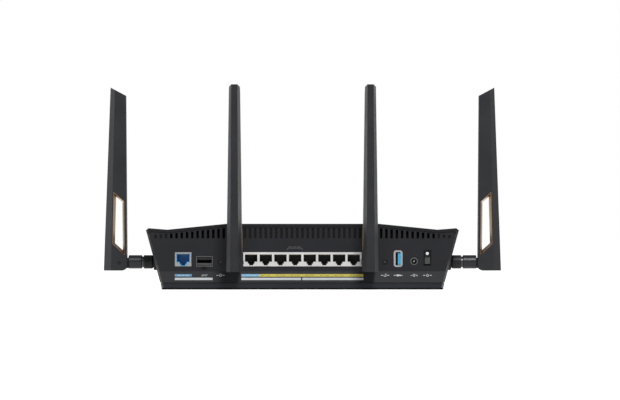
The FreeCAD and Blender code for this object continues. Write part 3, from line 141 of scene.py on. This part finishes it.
def painted_shade_fade(name, colour, dark, rough, axis, start, end, metal=0.0, gloss=0.5):
    """A surface with painted shade: its colour turns dark along one axis of the piece, between two
    distances in metres.
    """
    material = surface(name, colour, rough, metal=metal, gloss=gloss, grain=1500, depth=0.01)
    tree = material.node_tree
    shader = tree.nodes["Principled BSDF"]
    bright = shader.inputs["Base Color"].links[0].from_socket
    place = tree.nodes.new("ShaderNodeTexCoord")
    parts = tree.nodes.new("ShaderNodeSeparateXYZ")
    ranged = tree.nodes.new("ShaderNodeMapRange")
    ranged.inputs["From Min"].default_value = start
    ranged.inputs["From Max"].default_value = end
    mix = tree.nodes.new("ShaderNodeMix")
    mix.data_type = "RGBA"
    tree.links.new(place.outputs["Object"], parts.inputs["Vector"])
    tree.links.new(parts.outputs[axis], ranged.inputs["Value"])
    tree.links.new(ranged.outputs["Result"], mix.inputs["Factor"])
    tree.links.new(bright, mix.inputs["A"])
    mix.inputs["B"].default_value = (*dark, 1)
    tree.links.new(mix.outputs["Result"], shader.inputs["Base Color"])
    return material


def board_surface():
    """Solder mask with a faint pattern of tracks under it."""
    material, tree, shader = new_material("board_mask")
    place = tree.nodes.new("ShaderNodeTexCoord")
    tracks = tree.nodes.new("ShaderNodeTexBrick")
    tracks.inputs["Scale"].default_value = 180
    tracks.inputs["Mortar Size"].default_value = 0.08
    tracks.inputs["Color1"].default_value = (0.012, 0.07, 0.04, 1)
    tracks.inputs["Color2"].default_value = (0.015, 0.085, 0.045, 1)
    tracks.inputs["Mortar"].default_value = (0.03, 0.14, 0.07, 1)
    tree.links.new(place.outputs["Object"], tracks.inputs["Vector"])
    tree.links.new(tracks.outputs["Color"], shader.inputs["Base Color"])
    shader.inputs["Roughness"].default_value = 0.35
    relief(tree, tracks.outputs["Fac"], 0.03, 0.3, shader)
    return material


def clear_surface():
    """Frosted clear plastic of the light guide."""
    material = surface("guide_clear", (0.75, 0.78, 0.8), 0.3, gloss=0.5, change=0.03)
    shader = material.node_tree.nodes["Principled BSDF"]
    shader.inputs["Transmission Weight"].default_value = 0.35
    return material


CASE_GREY = (0.016, 0.0165, 0.02)
BLACK = (0.003, 0.003, 0.003)
DEEP_BLACK = (0.004, 0.004, 0.004)

PORT_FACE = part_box("lan_jack_shield")[1].y
CAGE_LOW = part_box("sfp_cage")[0].z
GROOVE_LOW, GROOVE_HIGH = 6.03 * MM, 6.57 * MM  # top of the tray and foot of the walls
ROCKER_LOW, ROCKER_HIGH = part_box("switch_rocker")
ROCKER_FOLD = (ROCKER_LOW.z + ROCKER_HIGH.z) / 2


def bare_metal(name, colour, rough, grain, depth, stretch=(1, 1, 1)):
    """Bare metal; a stretch draws its grain out along one axis."""
    return surface(name, colour, rough, metal=1.0, grain=grain, depth=depth, stretch=stretch)


def fine_plastic(name, colour, rough, gloss, grain=3000, depth=0.01):
    """Smooth moulded plastic."""
    return surface(name, colour, rough, gloss=gloss, grain=grain, depth=depth)


def case_part(name, colour, start, end):
    """Textured case plastic with painted shade: black where it meets the groove round the case."""
    return painted_shade_fade(name, colour, BLACK, 0.5, "Z", start, end, gloss=0.2)


def sunk_cap(name, colour):
    """A push button's plastic with painted shade: black behind its face, inside the wall."""
    return painted_shade_fade(name, colour, BLACK, 0.5, "Y", PORT_FACE - 1.4 * MM, PORT_FACE - 1.8 * MM)


FITTING = surface("fitting_satin", (0.0145, 0.0148, 0.0168), 0.45, gloss=0.3, grain=3000, depth=0.015)
BLADE = surface("blade_satin", CASE_GREY, 0.4, gloss=0.35, grain=3000, depth=0.015)
NODE_FINISH = {
    # Painted shade: the lid plastic is darker than the wall's, for the shade along the lid's lip.
    "top_cover": surface("lid_texture", (0.0095, 0.0098, 0.0115), 0.5, gloss=0.2),
    "middle_frame": case_part("case_wall", CASE_GREY, GROOVE_HIGH, GROOVE_HIGH - 0.05 * MM),
    "bottom_cover": case_part("case_tray", (0.018, 0.0205, 0.026), GROOVE_LOW, GROOVE_LOW + 0.05 * MM),
    "wan_jack_shield": surface("steel_dull", (0.33, 0.345, 0.36), 0.5, metal=0.5, grain=900, depth=0.01),
    # Painted shade: the blue turns darker deeper inside the socket, behind its face.
    "wan_jack_insert": painted_shade_fade(
        "insert_blue_shaded_inside", (0.045, 0.36, 0.72), (0.03, 0.29, 0.62), 0.4, "Y",
        PORT_FACE - 0.6 * MM, PORT_FACE - 3.0 * MM, gloss=0.4,
    ),
    "lan_jack_shield": surface("steel_bright", (0.74, 0.73, 0.72), 0.5, metal=0.15, grain=900, depth=0.01),
    "lan_jack_insert": fine_plastic("insert_dark", (0.02, 0.019, 0.019), 0.5, 0.3),
    # Painted shade: the gold is darkened for the shade inside the sockets.
    "jack_contacts": bare_metal("gold_contact_shaded", (0.3, 0.2, 0.08), 0.35, 2500, 0.005),
    "sfp_cage": painted_shade_fade(
        "cage_steel", (0.15, 0.15, 0.155), DEEP_BLACK, 0.5, "Z",
        CAGE_LOW + 0.95 * MM, CAGE_LOW + 0.9 * MM, metal=0.6,
    ),
    # Painted shade: the steel turns near black inside the port, behind its face.
    "usb_shell": painted_shade_fade(
        "usb_steel", (0.43, 0.42, 0.43), (0.003, 0.012, 0.03), 0.4, "Y",
        PORT_FACE - 0.3 * MM, PORT_FACE - 1.2 * MM, metal=0.4,
    ),
    "usb_tongue": fine_plastic("tongue_cyan", (0.04, 0.5, 0.84), 0.4, 0.4),
    # Painted shade: the nose turns black inside its bore, behind its lighter face.
    "dc_jack_body": painted_shade_fade(
        "inlet_nose", (0.11, 0.11, 0.115), DEEP_BLACK, 0.4, "Y",
        PORT_FACE - 0.2 * MM, PORT_FACE - 0.8 * MM,
    ),
    "dc_jack_pin": bare_metal("nickel_pin", (0.8, 0.79, 0.77), 0.25, 2500, 0.005),
    "switch_housing": fine_plastic("switch_black", BLACK, 0.5, 0.2),
    # Painted shade: the rocker's upper half is darker, as the half tilted away from the light.
    "switch_rocker": painted_shade_fade(
        "rocker_satin", (0.012, 0.0135, 0.014), (0.005, 0.005, 0.006), 0.45, "Z",
        ROCKER_FOLD - 0.4 * MM, ROCKER_FOLD + 0.4 * MM, gloss=0.3,
    ),
    "reset_button": sunk_cap("button_cap_right", (0.02, 0.02, 0.022)),
    "wps_button": sunk_cap("button_cap_left", (0.018, 0.018, 0.02)),
    "wifi_button": FITTING,
    "led_button": FITTING,
    "main_board": board_surface(),
    "board_components": surface("chip_black", (0.03, 0.03, 0.032), 0.55, grain=3500, depth=0.02),
    "rf_shields": bare_metal("can_metal", (0.7, 0.7, 0.69), 0.3, 900, 0.01, (1, 10, 1)),
    "heatsinks": bare_metal("sink_alloy", (0.55, 0.56, 0.57), 0.4, 700, 0.02, (1, 12, 1)),
    "light_guide": clear_surface(),
    "antenna_jacks": bare_metal("brass_plated", (0.75, 0.62, 0.35), 0.3, 1500, 0.01),
    "coax_leads": surface("lead_grey", (0.2, 0.2, 0.21), 0.5, grain=2500, depth=0.02),
    "rubber_feet": surface("rubber_dark", (0.015, 0.015, 0.016), 0.8, gloss=0.3, grain=1800, depth=0.05),
    "screws": bare_metal("screw_black", (0.25, 0.25, 0.26), 0.4, 1800, 0.01),
}
ANTENNA_FINISH = {
    "nut": FITTING,
    "plug": surface("plug_dark_nickel", (0.09, 0.09, 0.095), 0.4, metal=0.9, grain=2000, depth=0.008),
    "barrel": BLADE,
    "cover_shell": BLADE,
    "base_shell": BLADE,
    "window_trim": bare_metal("trim_champagne", (0.5, 0.36, 0.22), 0.3, 1200, 0.008, (8, 8, 1)),
    "hinge_screw": surface("hinge_black", (0.01, 0.01, 0.01), 0.5, metal=0.3, grain=2000, depth=0.008),
    "radiator": bare_metal("radiator_copper_sheet", (0.75, 0.4, 0.25), 0.4, 1200, 0.01),
}
for antenna in ANTENNAS:
    for part, finish in ANTENNA_FINISH.items():
        NODE_FINISH[f"{antenna}_{part}"] = finish

FLAP_FINISH = surface("flap_sheet", (0.06, 0.06, 0.063), 0.5, metal=0.3, grain=1500, depth=0.01)
# Painted shade: black for the shade under the tray's rear edge.
UNDER_SHADE_FINISH = surface("under_case_shade", (0.006, 0.006, 0.006), 0.9, gloss=0.1, grain=1500, depth=0.06)
# Black plastic of the latch grip, and painted shade on the lid's wing tips.
BLACK_FINISH = fine_plastic("black_grip_and_tip_shade", DEEP_BLACK, 0.5, 0.2, grain=2500)
# Painted shade for the floors of the recessed vent slots.
SLOT_SHADE_FINISH = fine_plastic("recess_shade", (0.0125, 0.0108, 0.011), 0.7, 0.1, grain=2500, depth=0.02)
# Painted shade: black for the dark inside of the rear vents.
VENT_SHADE_FINISH = surface("vent_shade_black", BLACK, 0.9, gloss=0.05, grain=1400, depth=0.15, strength=0.6)


def ink(name, colour, rough=0.6):
    """A matt print."""
    return fine_plastic(name, colour, rough, 0.3, grain=4000)


WHITE_INK = ink("ink_white", (0.53, 0.56, 0.57))
BLUE_INK = ink("ink_blue", (0.2, 0.42, 0.62))
STEEL_BLUE_INK = ink("ink_steel_blue", (0.12, 0.27, 0.42))
DOT_INK = ink("ink_bright", (0.85, 0.86, 0.86), 0.5)
PALE_BLUE_INK = ink("ink_pale_blue", (0.4, 0.6, 0.72))
YELLOW_INK = ink("ink_yellow", (0.57, 0.49, 0.085))
OLIVE_INK = ink("ink_olive", (0.25, 0.2, 0.03))
GREY_INK = ink("ink_grey", (0.11, 0.11, 0.115))


def paint(piece, material):
    """Gives the piece one material for all of its faces."""
    piece.data.materials.clear()
    piece.data.materials.append(material)


for node, finish in NODE_FINISH.items():
    paint(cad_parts[node], finish)


# Prints: thin raised marks that lie on a face of a CAD node.


def touch(node, x, z):
    """The spot and the outward direction where a level line from the rear meets a node."""
    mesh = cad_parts[node].data
    corners = [vertex.co for vertex in mesh.vertices]
    faces = [face.vertices for face in mesh.polygons]
    tree = BVHTree.FromPolygons(corners, faces)
    start = Vector((x, cad_box[1].y + 0.1, z))
    spot, outward, _, _ = tree.ray_cast(start, Vector((0, -1, 0)))
    return spot, outward


def lie_on(spot, outward):
    """A frame on the face: first axis to the reader's right, second axis up the face."""
    out = outward.normalized()
    right = Vector((-1, 0, 0))
    right = (right - right.dot(out) * out).normalized()
    up = out.cross(right)
    turn = Matrix((right, up, out)).transposed().to_4x4()
    return Matrix.Translation(spot) @ turn


def bar(left, right, low, high, corner=0.25):
    """A rounded rectangle as points in millimetres."""
    corner = min(corner, (right - left) / 2, (high - low) / 2)
    points = []
    spots = (
        (right - corner, high - corner, 0),
        (left + corner, high - corner, 90),
        (left + corner, low + corner, 180),
        (right - corner, low + corner, 270),
    )
    for x, y, start in spots:
        for step in range(4):
            angle = math.radians(start + 30 * step)
            points.append((x + corner * math.cos(angle), y + corner * math.sin(angle)))
    return points


def disc(x, y, radius, steps=24):
    """A round dot."""
    angles = [2 * math.pi * step / steps for step in range(steps)]
    return [(x + radius * math.cos(a), y + radius * math.sin(a)) for a in angles]


def arc(x, y, radius, width, start, end, steps=18):
    """A curved line from the start angle to the end angle, in degrees."""
    angles = [math.radians(start + (end - start) * step / steps) for step in range(steps + 1)]
    far, near = radius + width / 2, radius - width / 2
    outer = [(x + far * math.cos(a), y + far * math.sin(a)) for a in angles]
    inner = [(x + near * math.cos(a), y + near * math.sin(a)) for a in angles]
    return outer + inner[::-1]


def arrow(x, y, size, heading):
    """A small solid arrowhead that points along a heading in degrees."""
    turns = (0, 130, 230)
    angles = [math.radians(heading + turn) for turn in turns]
    return [(x + size * math.cos(a), y + size * math.sin(a)) for a in angles]


def print_marks(name, outlines, place, finish, body, sink=0.02, rise=0.05):
    """Closed thin plates with the given outlines, lying on the place's first two axes."""
    mesh = bpy.data.meshes.new(name)
    shape = bmesh.new()
    for outline in outlines:
        low = [shape.verts.new(Vector((u * MM, v * MM, -sink * MM))) for u, v in outline]
        high = [shape.verts.new(Vector((u * MM, v * MM, rise * MM))) for u, v in outline]
        shape.faces.new(low[::-1])
        shape.faces.new(high)
        for index in range(len(outline)):
            after = (index + 1) % len(outline)
            shape.faces.new((low[index], low[after], high[after], high[index]))
    bmesh.ops.recalc_face_normals(shape, faces=shape.faces[:])
    bmesh.ops.transform(shape, matrix=place, verts=shape.verts[:])
    shape.to_mesh(mesh)
    shape.free()
    piece = bpy.data.objects.new(name, mesh)
    bpy.context.scene.collection.objects.link(piece)
    paint(piece, finish)
    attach(piece, body)
    return piece


def print_number(name, text, height, place, finish, body):
    """A numeral as a thin closed solid centred on the place."""
    curve = bpy.data.curves.new(name + "_curve", "FONT")
    curve.body = text
    curve.size = height * MM * 1.4
    curve.extrude = 0.04 * MM
    curve.align_x = "CENTER"
    curve.align_y = "CENTER"
    curve.resolution_u = 3
    writer = bpy.data.objects.new(name + "_curve", curve)
    bpy.context.scene.collection.objects.link(writer)
    bpy.context.view_layer.update()
    mesh = bpy.data.meshes.new_from_object(writer)
    mesh.name = name
    mesh.transform(place @ Matrix.Translation((0, 0, 0.03 * MM)))
    bpy.data.objects.remove(writer)
    piece = bpy.data.objects.new(name, mesh)
    bpy.context.scene.collection.objects.link(piece)
    paint(piece, finish)
    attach(piece, body)
    return piece


def middle(node):
    """The middle of a node's box."""
    low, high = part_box(node)
    return (low + high) / 2


LABEL_ROW = 13.5 * MM    # height of the row of labels on the ledge
STRIP_ROW = 10.15 * MM   # height of the row of white strips
BAR_HALF = 1.25          # half the height of a coloured bar, in millimetres
STRIP_HALF = 1.15
LAN_PITCH = 13.97 * MM   # one RJ45 socket to the next
LAN_PORTS = 8
DIGIT_HEIGHT = 1.7       # in millimetres


def ledge_bar(name, left, right, row, half, finish):
    """A printed bar on the label ledge between two distances from the middle, in millimetres."""
    spot, outward = touch("middle_frame", (left + right) / 2 * MM, row)
    width = abs(right - left)
    outline = bar(-width / 2, width / 2, -half, half, 0.2)
    return print_marks(name, [outline], lie_on(spot, outward), finish, "case")


def ledge_marks(name, x, outlines, finish=WHITE_INK, rise=0.05):
    """A small sign on the label ledge under a port."""
    spot, outward = touch("middle_frame", x, LABEL_ROW)
    return print_marks(name, outlines, lie_on(spot, outward), finish, "case", rise=rise)


def label_bars():
    """The coloured bars and the white strips under the network sockets."""
    wan = middle("wan_jack_shield").x / MM
    lan_low, lan_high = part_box("lan_jack_shield")
    left, right = lan_high.x / MM + 1.7, lan_low.x / MM - 1.6
    split = left - 16.6
    seam_left, seam_right = 1.3, 0.1
    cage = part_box("sfp_cage")[0].x / MM
    ledge_bar("wan_bar", wan + 7.9, wan - 8.3, LABEL_ROW, BAR_HALF, STEEL_BLUE_INK)
    ledge_bar("wan_strip", wan + 7.9, cage - 0.1, STRIP_ROW, STRIP_HALF, WHITE_INK)
    ledge_bar("lan_first_bar", left, split, LABEL_ROW, BAR_HALF, BLUE_INK)
    ledge_bar("lan_bar", split, right, LABEL_ROW, BAR_HALF, YELLOW_INK)
    ledge_bar("lan_strip_left", left, seam_left, STRIP_ROW, STRIP_HALF, WHITE_INK)
    ledge_bar("lan_strip_right", seam_right, right, STRIP_ROW, STRIP_HALF, WHITE_INK)


def dash_pair(near, far):
    """A short dash on each side of a sign."""
    return [bar(-far, -near, -0.3, 0.3), bar(near, far, -0.3, 0.3)]


def label_numbers():
    """Numbers one to eight under the gang of sockets, between short dashes."""
    low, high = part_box("lan_jack_shield")
    start = (low.x + high.x) / 2 + (LAN_PORTS - 1) / 2 * LAN_PITCH
    for index in range(LAN_PORTS):
        x = start - index * LAN_PITCH
        spot, outward = touch("middle_frame", x, LABEL_ROW)
        place = lie_on(spot, outward)
        finish = PALE_BLUE_INK if index == 0 else OLIVE_INK
        label = f"lan_number_{index + 1}"
        on_bar = place @ Matrix.Translation((0, 0, 0.05 * MM))
        print_number(label, str(index + 1), DIGIT_HEIGHT, on_bar, finish, "case")
        print_marks(label + "_dashes", dash_pair(1.6, 4.2), place, finish, "case", rise=0.09)
    wan = middle("wan_jack_shield").x
    dashes = [bar(-5.5, -1.9, -0.35, 0.35), bar(-1.2, 1.2, -0.35, 0.35), bar(1.9, 5.5, -0.35, 0.35)]
    ledge_marks("wan_dashes", wan, dashes, PALE_BLUE_INK, rise=0.09)


def label_signs():
    """Plain signs under the other ports: none of them is a maker's or a standard's mark."""
    arrows = [
        bar(-2.4, 1.8, 0.35, 0.65),
        arrow(2.3, 0.5, 0.7, 0),
        bar(-1.8, 2.4, -0.65, -0.35),
        arrow(-2.3, -0.5, 0.7, 180),
    ]
    ledge_marks("cage_sign", middle("sfp_cage").x, arrows)
    pair = [
        arc(0, 0, 1.1, 0.45, 20, 160),
        arrow(1.1, 0.1, 0.8, 270),
        arc(0, 0, 1.1, 0.45, 200, 340),
        arrow(-1.1, -0.1, 0.8, 90),
    ]
    ledge_marks("pairing_sign", middle("wps_button").x, pair + dash_pair(2.1, 3.9))
    turn = [arc(0, 0, 1.1, 0.45, -210, 60), arrow(0.55, 1.05, 0.85, 150)]
    ledge_marks("reset_sign", middle("reset_button").x, turn + dash_pair(2.1, 4.0))
    plug = [
        bar(-1.6, 1.2, -0.9, 0.9),
        bar(1.5, 3.0, -0.6, 0.6),
        bar(-4.2, -2.1, -0.3, 0.3),
        bar(3.4, 4.4, -0.3, 0.3),
    ]
    ledge_marks("usb_sign", middle("usb_shell").x, plug)
    polarity = [
        bar(-3.5, -1.9, -0.2, 0.2),
        arc(0, 0, 1.2, 0.4, 15, 345),
        disc(0, 0, 0.5),
        bar(1.9, 3.5, -0.2, 0.2),
        bar(2.5, 2.9, 0.3, 1.0, 0.1),
        bar(2.5, 2.9, -1.0, -0.3, 0.1),
    ]
    ledge_marks("inlet_sign", middle("dc_jack_body").x, polarity)
    standby = [arc(0, -0.1, 1.1, 0.45, 125, 415), bar(-0.22, 0.22, 0.2, 1.5, 0.1)]
    ledge_marks("power_sign", middle("switch_rocker").x, standby + dash_pair(2.1, 4.2))


def wall_bracket():
    """The faint bracket on the wall above the middle pair of sockets."""
    between_sockets, above_sockets = 7.3 * MM, 39.0 * MM
    spot, outward = touch("middle_frame", between_sockets, above_sockets)
    lines = [
        bar(-7.4, 7.4, -0.15, 0.2, 0.1),
        bar(-7.4, -7.0, -1.9, -0.15, 0.1),
        bar(7.0, 7.4, -1.9, -0.15, 0.1),
        bar(-6.2, -2.6, 1.1, 1.7, 0.2),
        bar(-2.0, 1.4, 1.1, 1.7, 0.2),
        bar(2.0, 6.0, 1.1, 1.7, 0.2),
    ]
    print_marks("pair_bracket", lines, lie_on(spot, outward), GREY_INK, "case")


def rocker_dot():
    """The white dot on the upper half of the power rocker."""
    share, radius = 0.81, 1.45
    height = ROCKER_LOW.z + share * (ROCKER_HIGH.z - ROCKER_LOW.z)
    spot, outward = touch("switch_rocker", (ROCKER_LOW.x + ROCKER_HIGH.x) / 2, height)
    print_marks("rocker_dot", [disc(0, 0, radius)], lie_on(spot, outward), DOT_INK, "power_rocker")


def prism_piece(name, outline, place, low, high, material, body):
    """A closed prism over an outline in millimetres, between two heights along the place's third axis."""
    return print_marks(name, [outline], place, material, body, sink=-low, rise=high)


def upright(x, y, z):
    """A place whose first two axes are the reader's right and up, with the third towards the rear."""
    return lie_on(Vector((x, y, z)), Vector((0, 1, 0)))


PLAIN_WALL = 42 * MM     # a height where the rear wall is plain
ROOF_SLOPE = 0.1         # fall of the vents' tops towards the wings


def vent_shade_sheets():
    """Black sheets of painted shade just inside the rear vents, cut to the roof's slope."""
    inner = touch("middle_frame", 0, PLAIN_WALL)[0].y - 3.6 * MM
    start, ridge, reach, low, high = 60.0, 72.0, 136.0, 46.0, 59.0
    fall = ROOF_SLOPE * (reach - ridge)
    for name, side in (("vent_shade_right", -1), ("vent_shade_left", 1)):
        outline = [
            (side * start, low),
            (side * start, high),
            (side * ridge, high),
            (side * reach, high - fall),
            (side * reach, low),
        ]
        prism_piece(name, outline, upright(0, inner, 0), 0, 0.4, VENT_SHADE_FINISH, "case")


CAGE_HEIGHT = 9.9 * MM   # the cage without its latch tab


def cage_flaps():
    """Two sprung flaps inside the fibre cage's mouth, with the slot between them left open."""
    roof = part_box("sfp_cage")[1].z
    centre = middle("sfp_cage").x
    half, edge = CAGE_HEIGHT / 2, 0.7 * MM
    rows = (
        ("cage_flap_upper", roof - edge, roof - half + 1.5 * MM),
        ("cage_flap_lower", roof - CAGE_HEIGHT + edge, roof - half - 1.8 * MM),
    )
    for name, outer, inner in rows:
        start = Vector((centre, PORT_FACE - 0.5 * MM, outer))
        end = Vector((centre, PORT_FACE - 3.0 * MM, inner))
        flap(name, start, end, 6.9 * MM, 0.25 * MM)


def flap(name, start, end, half_width, thickness):
    """A bent sheet from start to end, closed, as wide as the cage's inside."""
    steps, bend = 6, 0.25 * MM
    heading = 1 if end.z < start.z else -1
    across = Vector((1, 0, 0))
    away = (end - start).normalized().cross(across).normalized() * thickness / 2
    corners = ((-1, -1), (1, -1), (1, 1), (-1, 1))
    mesh = bpy.data.meshes.new(name)
    shape = bmesh.new()
    rows = []
    for step in range(steps + 1):
        share = step / steps
        spot = start.lerp(end, share)
        spot.z += math.sin(share * math.pi) * bend * heading
        row = [spot + across * side * half_width + away * face for side, face in corners]
        rows.append([shape.verts.new(corner) for corner in row])
    for near, far in zip(rows, rows[1:]):
        for index in range(4):
            after = (index + 1) % 4
            shape.faces.new((near[index], near[after], far[after], far[index]))
    shape.faces.new(rows[0][::-1])
    shape.faces.new(rows[-1])
    bmesh.ops.recalc_face_normals(shape, faces=shape.faces[:])
    shape.to_mesh(mesh)
    shape.free()
    piece = bpy.data.objects.new(name, mesh)
    bpy.context.scene.collection.objects.link(piece)
    paint(piece, FLAP_FINISH)
    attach(piece, "case")


def rear_under_shade():
    """Dark strip of painted shade under the tray's rear edge."""
    low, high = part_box("bottom_cover")
    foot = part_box("rubber_feet")[0].z
    inset, flare, back, width = 2.2, 0.9, 4 * MM, 3.7
    half = high.x / MM - inset
    height = low.z / MM - foot / MM
    outline = [(-half, 0.0), (half, 0.0), (half + flare, height), (-half - flare, height)]
    prism_piece("rear_under_shade", outline, upright(0, high.y - back, foot), 0, width, UNDER_SHADE_FINISH, "case")


def slot_shade_prints():
    """Painted shade on the floors of the vent slots that are only recesses."""
    ridge, pitch, low, top, half = 73.0, 5.0, 48.9, 58.3, 1.15
    # Slots are counted from the middle: those between last_middle and first_end are open.
    last_middle, first_end, last = 11, 26, 28
    outlines = []
    for index in range(-last, last + 1):
        if last_middle < abs(index) < first_end:
            continue
        x = pitch * index
        high = top - ROOF_SLOPE * max(0.0, abs(x) - ridge)
        outlines.append([(-x - half, low), (-x + half, low), (-x + half, high), (-x - half, high)])
    in_middle_slot = 53 * MM
    floor_y = touch("middle_frame", 0, in_middle_slot)[0].y
    print_marks("vent_slot_shade", outlines, upright(0, floor_y, 0), SLOT_SHADE_FINISH, "case", rise=0.08)


def cage_tab():
    """Black grip of the latch under the fibre cage's mouth."""
    half, height, drop = 2.7, 1.8, 11.9
    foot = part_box("sfp_cage")[1].z / MM - drop
    outline = bar(-half, half, foot, foot + height, 0.4)
    place = upright(middle("sfp_cage").x, PORT_FACE, 0)
    prism_piece("cage_latch_grip", outline, place, -0.15, 0.8, BLACK_FINISH, "case")


def facing_plate(name, corners, rise, material, body):
    """A thin closed plate over a flat face, given by its corners in order."""
    centre = sum(corners, Vector()) / len(corners)
    across = (corners[1] - corners[0]).normalized()
    out = across.cross(corners[2] - corners[1]).normalized()
    if out.y < 0:
        out.negate()
    up = out.cross(across)
    place = Matrix.Translation(centre) @ Matrix((across, up, out)).transposed().to_4x4()
    outline = [((corner - centre).dot(across) / MM, (corner - centre).dot(up) / MM) for corner in corners]
    return print_marks(name, [outline], place, material, body, rise=rise)


def wing_tip_shades():
    """Black plates of painted shade on the cut corners of the lid's two wings."""
    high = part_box("top_cover")[1]
    # Each corner: in from the wing's tip, forward of the rear edge, down from the top, in millimetres.
    brow_rear, brow_side = (5, 0, 4.39), (2.5, 7.7, 4.2)
    tip_rear, tip_side = (2.5, 0, 6.39), (0, 7.7, 6.2)
    foot_rear, foot_side = (3.26, 0, 9.19), (0.76, 7.7, 9)
    faces = (
        ("brow", (brow_rear, brow_side, tip_side, tip_rear)),
        ("end", (tip_rear, tip_side, foot_side, foot_rear)),
    )
    for name, side in (("wing_tip_shade_right", 1), ("wing_tip_shade_left", -1)):
        for face, spots in faces:
            corners = [
                Vector((side * (high.x - inward * MM), high.y - forward * MM, high.z - down * MM))
                for inward, forward, down in spots
            ]
            facing_plate(f"{name}_{face}", corners, 0.05, BLACK_FINISH, "case")


vent_shade_sheets()
slot_shade_prints()
cage_flaps()
cage_tab()
wing_tip_shades()
rear_under_shade()
label_bars()
label_numbers()
label_signs()
wall_bracket()
rocker_dot()


# Stage, light and camera.


def floor():
    """A wide pale floor under the feet."""
    half = 5.0
    level = cad_box[0].z - 0.02 * MM
    mesh = bpy.data.meshes.new("floor")
    corners = [(x * half, y * half, level) for x, y in ((-1, -1), (1, -1), (1, 1), (-1, 1))]
    mesh.from_pydata(corners, [], [(0, 1, 2, 3)])
    piece = bpy.data.objects.new("floor", mesh)
    bpy.context.scene.collection.objects.link(piece)
    material = surface("floor_pale", (0.35, 0.35, 0.35), 0.9, gloss=0.1, change=0.01, grain=200, depth=0.02)
    shader = material.node_tree.nodes["Principled BSDF"]
    shader.inputs["Emission Color"].default_value = (1, 1, 1, 1)
    shader.inputs["Emission Strength"].default_value = 0.93
    paint(piece, material)
    piece.visible_diffuse = False


def backdrop():
    """A white dome far outside, which only the camera sees."""
    mesh = bpy.data.meshes.new("backdrop")
    shape = bmesh.new()
    bmesh.ops.create_icosphere(shape, subdivisions=4, radius=11.0)
    shape.to_mesh(mesh)
    shape.free()
    piece = bpy.data.objects.new("backdrop", mesh)
    bpy.context.scene.collection.objects.link(piece)
    material, _, shader = new_material("backdrop_white")
    shader.inputs["Base Color"].default_value = (0, 0, 0, 1)
    shader.inputs["Specular IOR Level"].default_value = 0
    shader.inputs["Emission Color"].default_value = (1, 1, 1, 1)
    shader.inputs["Emission Strength"].default_value = 1.0
    paint(piece, material)
    piece.visible_diffuse = False
    piece.visible_glossy = False
    piece.visible_transmission = False
    piece.visible_shadow = False


def sky(strength):
    """Even white light from all around."""
    world = bpy.data.worlds.new("white_room")
    world.use_nodes = True
    background = world.node_tree.nodes["Background"]
    background.inputs["Color"].default_value = (1, 1, 1, 1)
    background.inputs["Strength"].default_value = strength
    bpy.context.scene.world = world


def aim_at(piece, target):
    """Turns a light or the camera towards a point."""
    way = Vector(target) - piece.location
    piece.rotation_euler = way.to_track_quat("-Z", "Y").to_euler()


def softbox(name, place, target, width, height, watts):
    """A large soft lamp."""
    data = bpy.data.lights.new(name, "AREA")
    data.shape = "RECTANGLE"
    data.size = width
    data.size_y = height
    data.energy = watts
    piece = bpy.data.objects.new(name, data)
    piece.location = Vector(place)
    bpy.context.scene.collection.objects.link(piece)
    aim_at(piece, target)


def rear_camera():
    """Level with the case, three metres behind the port wall."""
    wall = touch("middle_frame", 0, PLAIN_WALL)[0].y
    data = bpy.data.cameras.new("rear_view")
    data.lens = 179.7
    data.sensor_width = 36
    data.clip_start = 0.1
    data.clip_end = 30
    piece = bpy.data.objects.new("rear_view", data)
    piece.location = Vector((-0.0005, wall + 2.95, 0.0724))
    bpy.context.scene.collection.objects.link(piece)
    aim_at(piece, (-0.0072, wall, 0.0853))
    bpy.context.scene.camera = piece


# Name, place and target in metres, width and height of the softbox, and its watts.
ON_CASE = (0, 0.05, 0.06)
ON_BLADES = (0, 0.05, 0.1)
LAMPS = (
    ("lamp_left", (1.5, 0.7, 0.5), ON_CASE, 1.0, 1.2, 9),
    ("lamp_right", (-1.4, 0.9, 0.9), ON_CASE, 1.0, 1.0, 9),
    ("lamp_key", (-0.35, 1.9, 2.1), ON_CASE, 0.45, 0.45, 58),
    ("lamp_rim_left", (1.7, -1.1, 0.4), ON_BLADES, 0.8, 1.4, 8),
    ("lamp_rim_right", (-1.7, -1.1, 0.4), ON_BLADES, 0.8, 1.4, 8),
)

floor()
backdrop()
sky(0.24)
for lamp in LAMPS:
    softbox(*lamp)
rear_camera()
bpy.context.scene.view_settings.view_transform = "Standard"
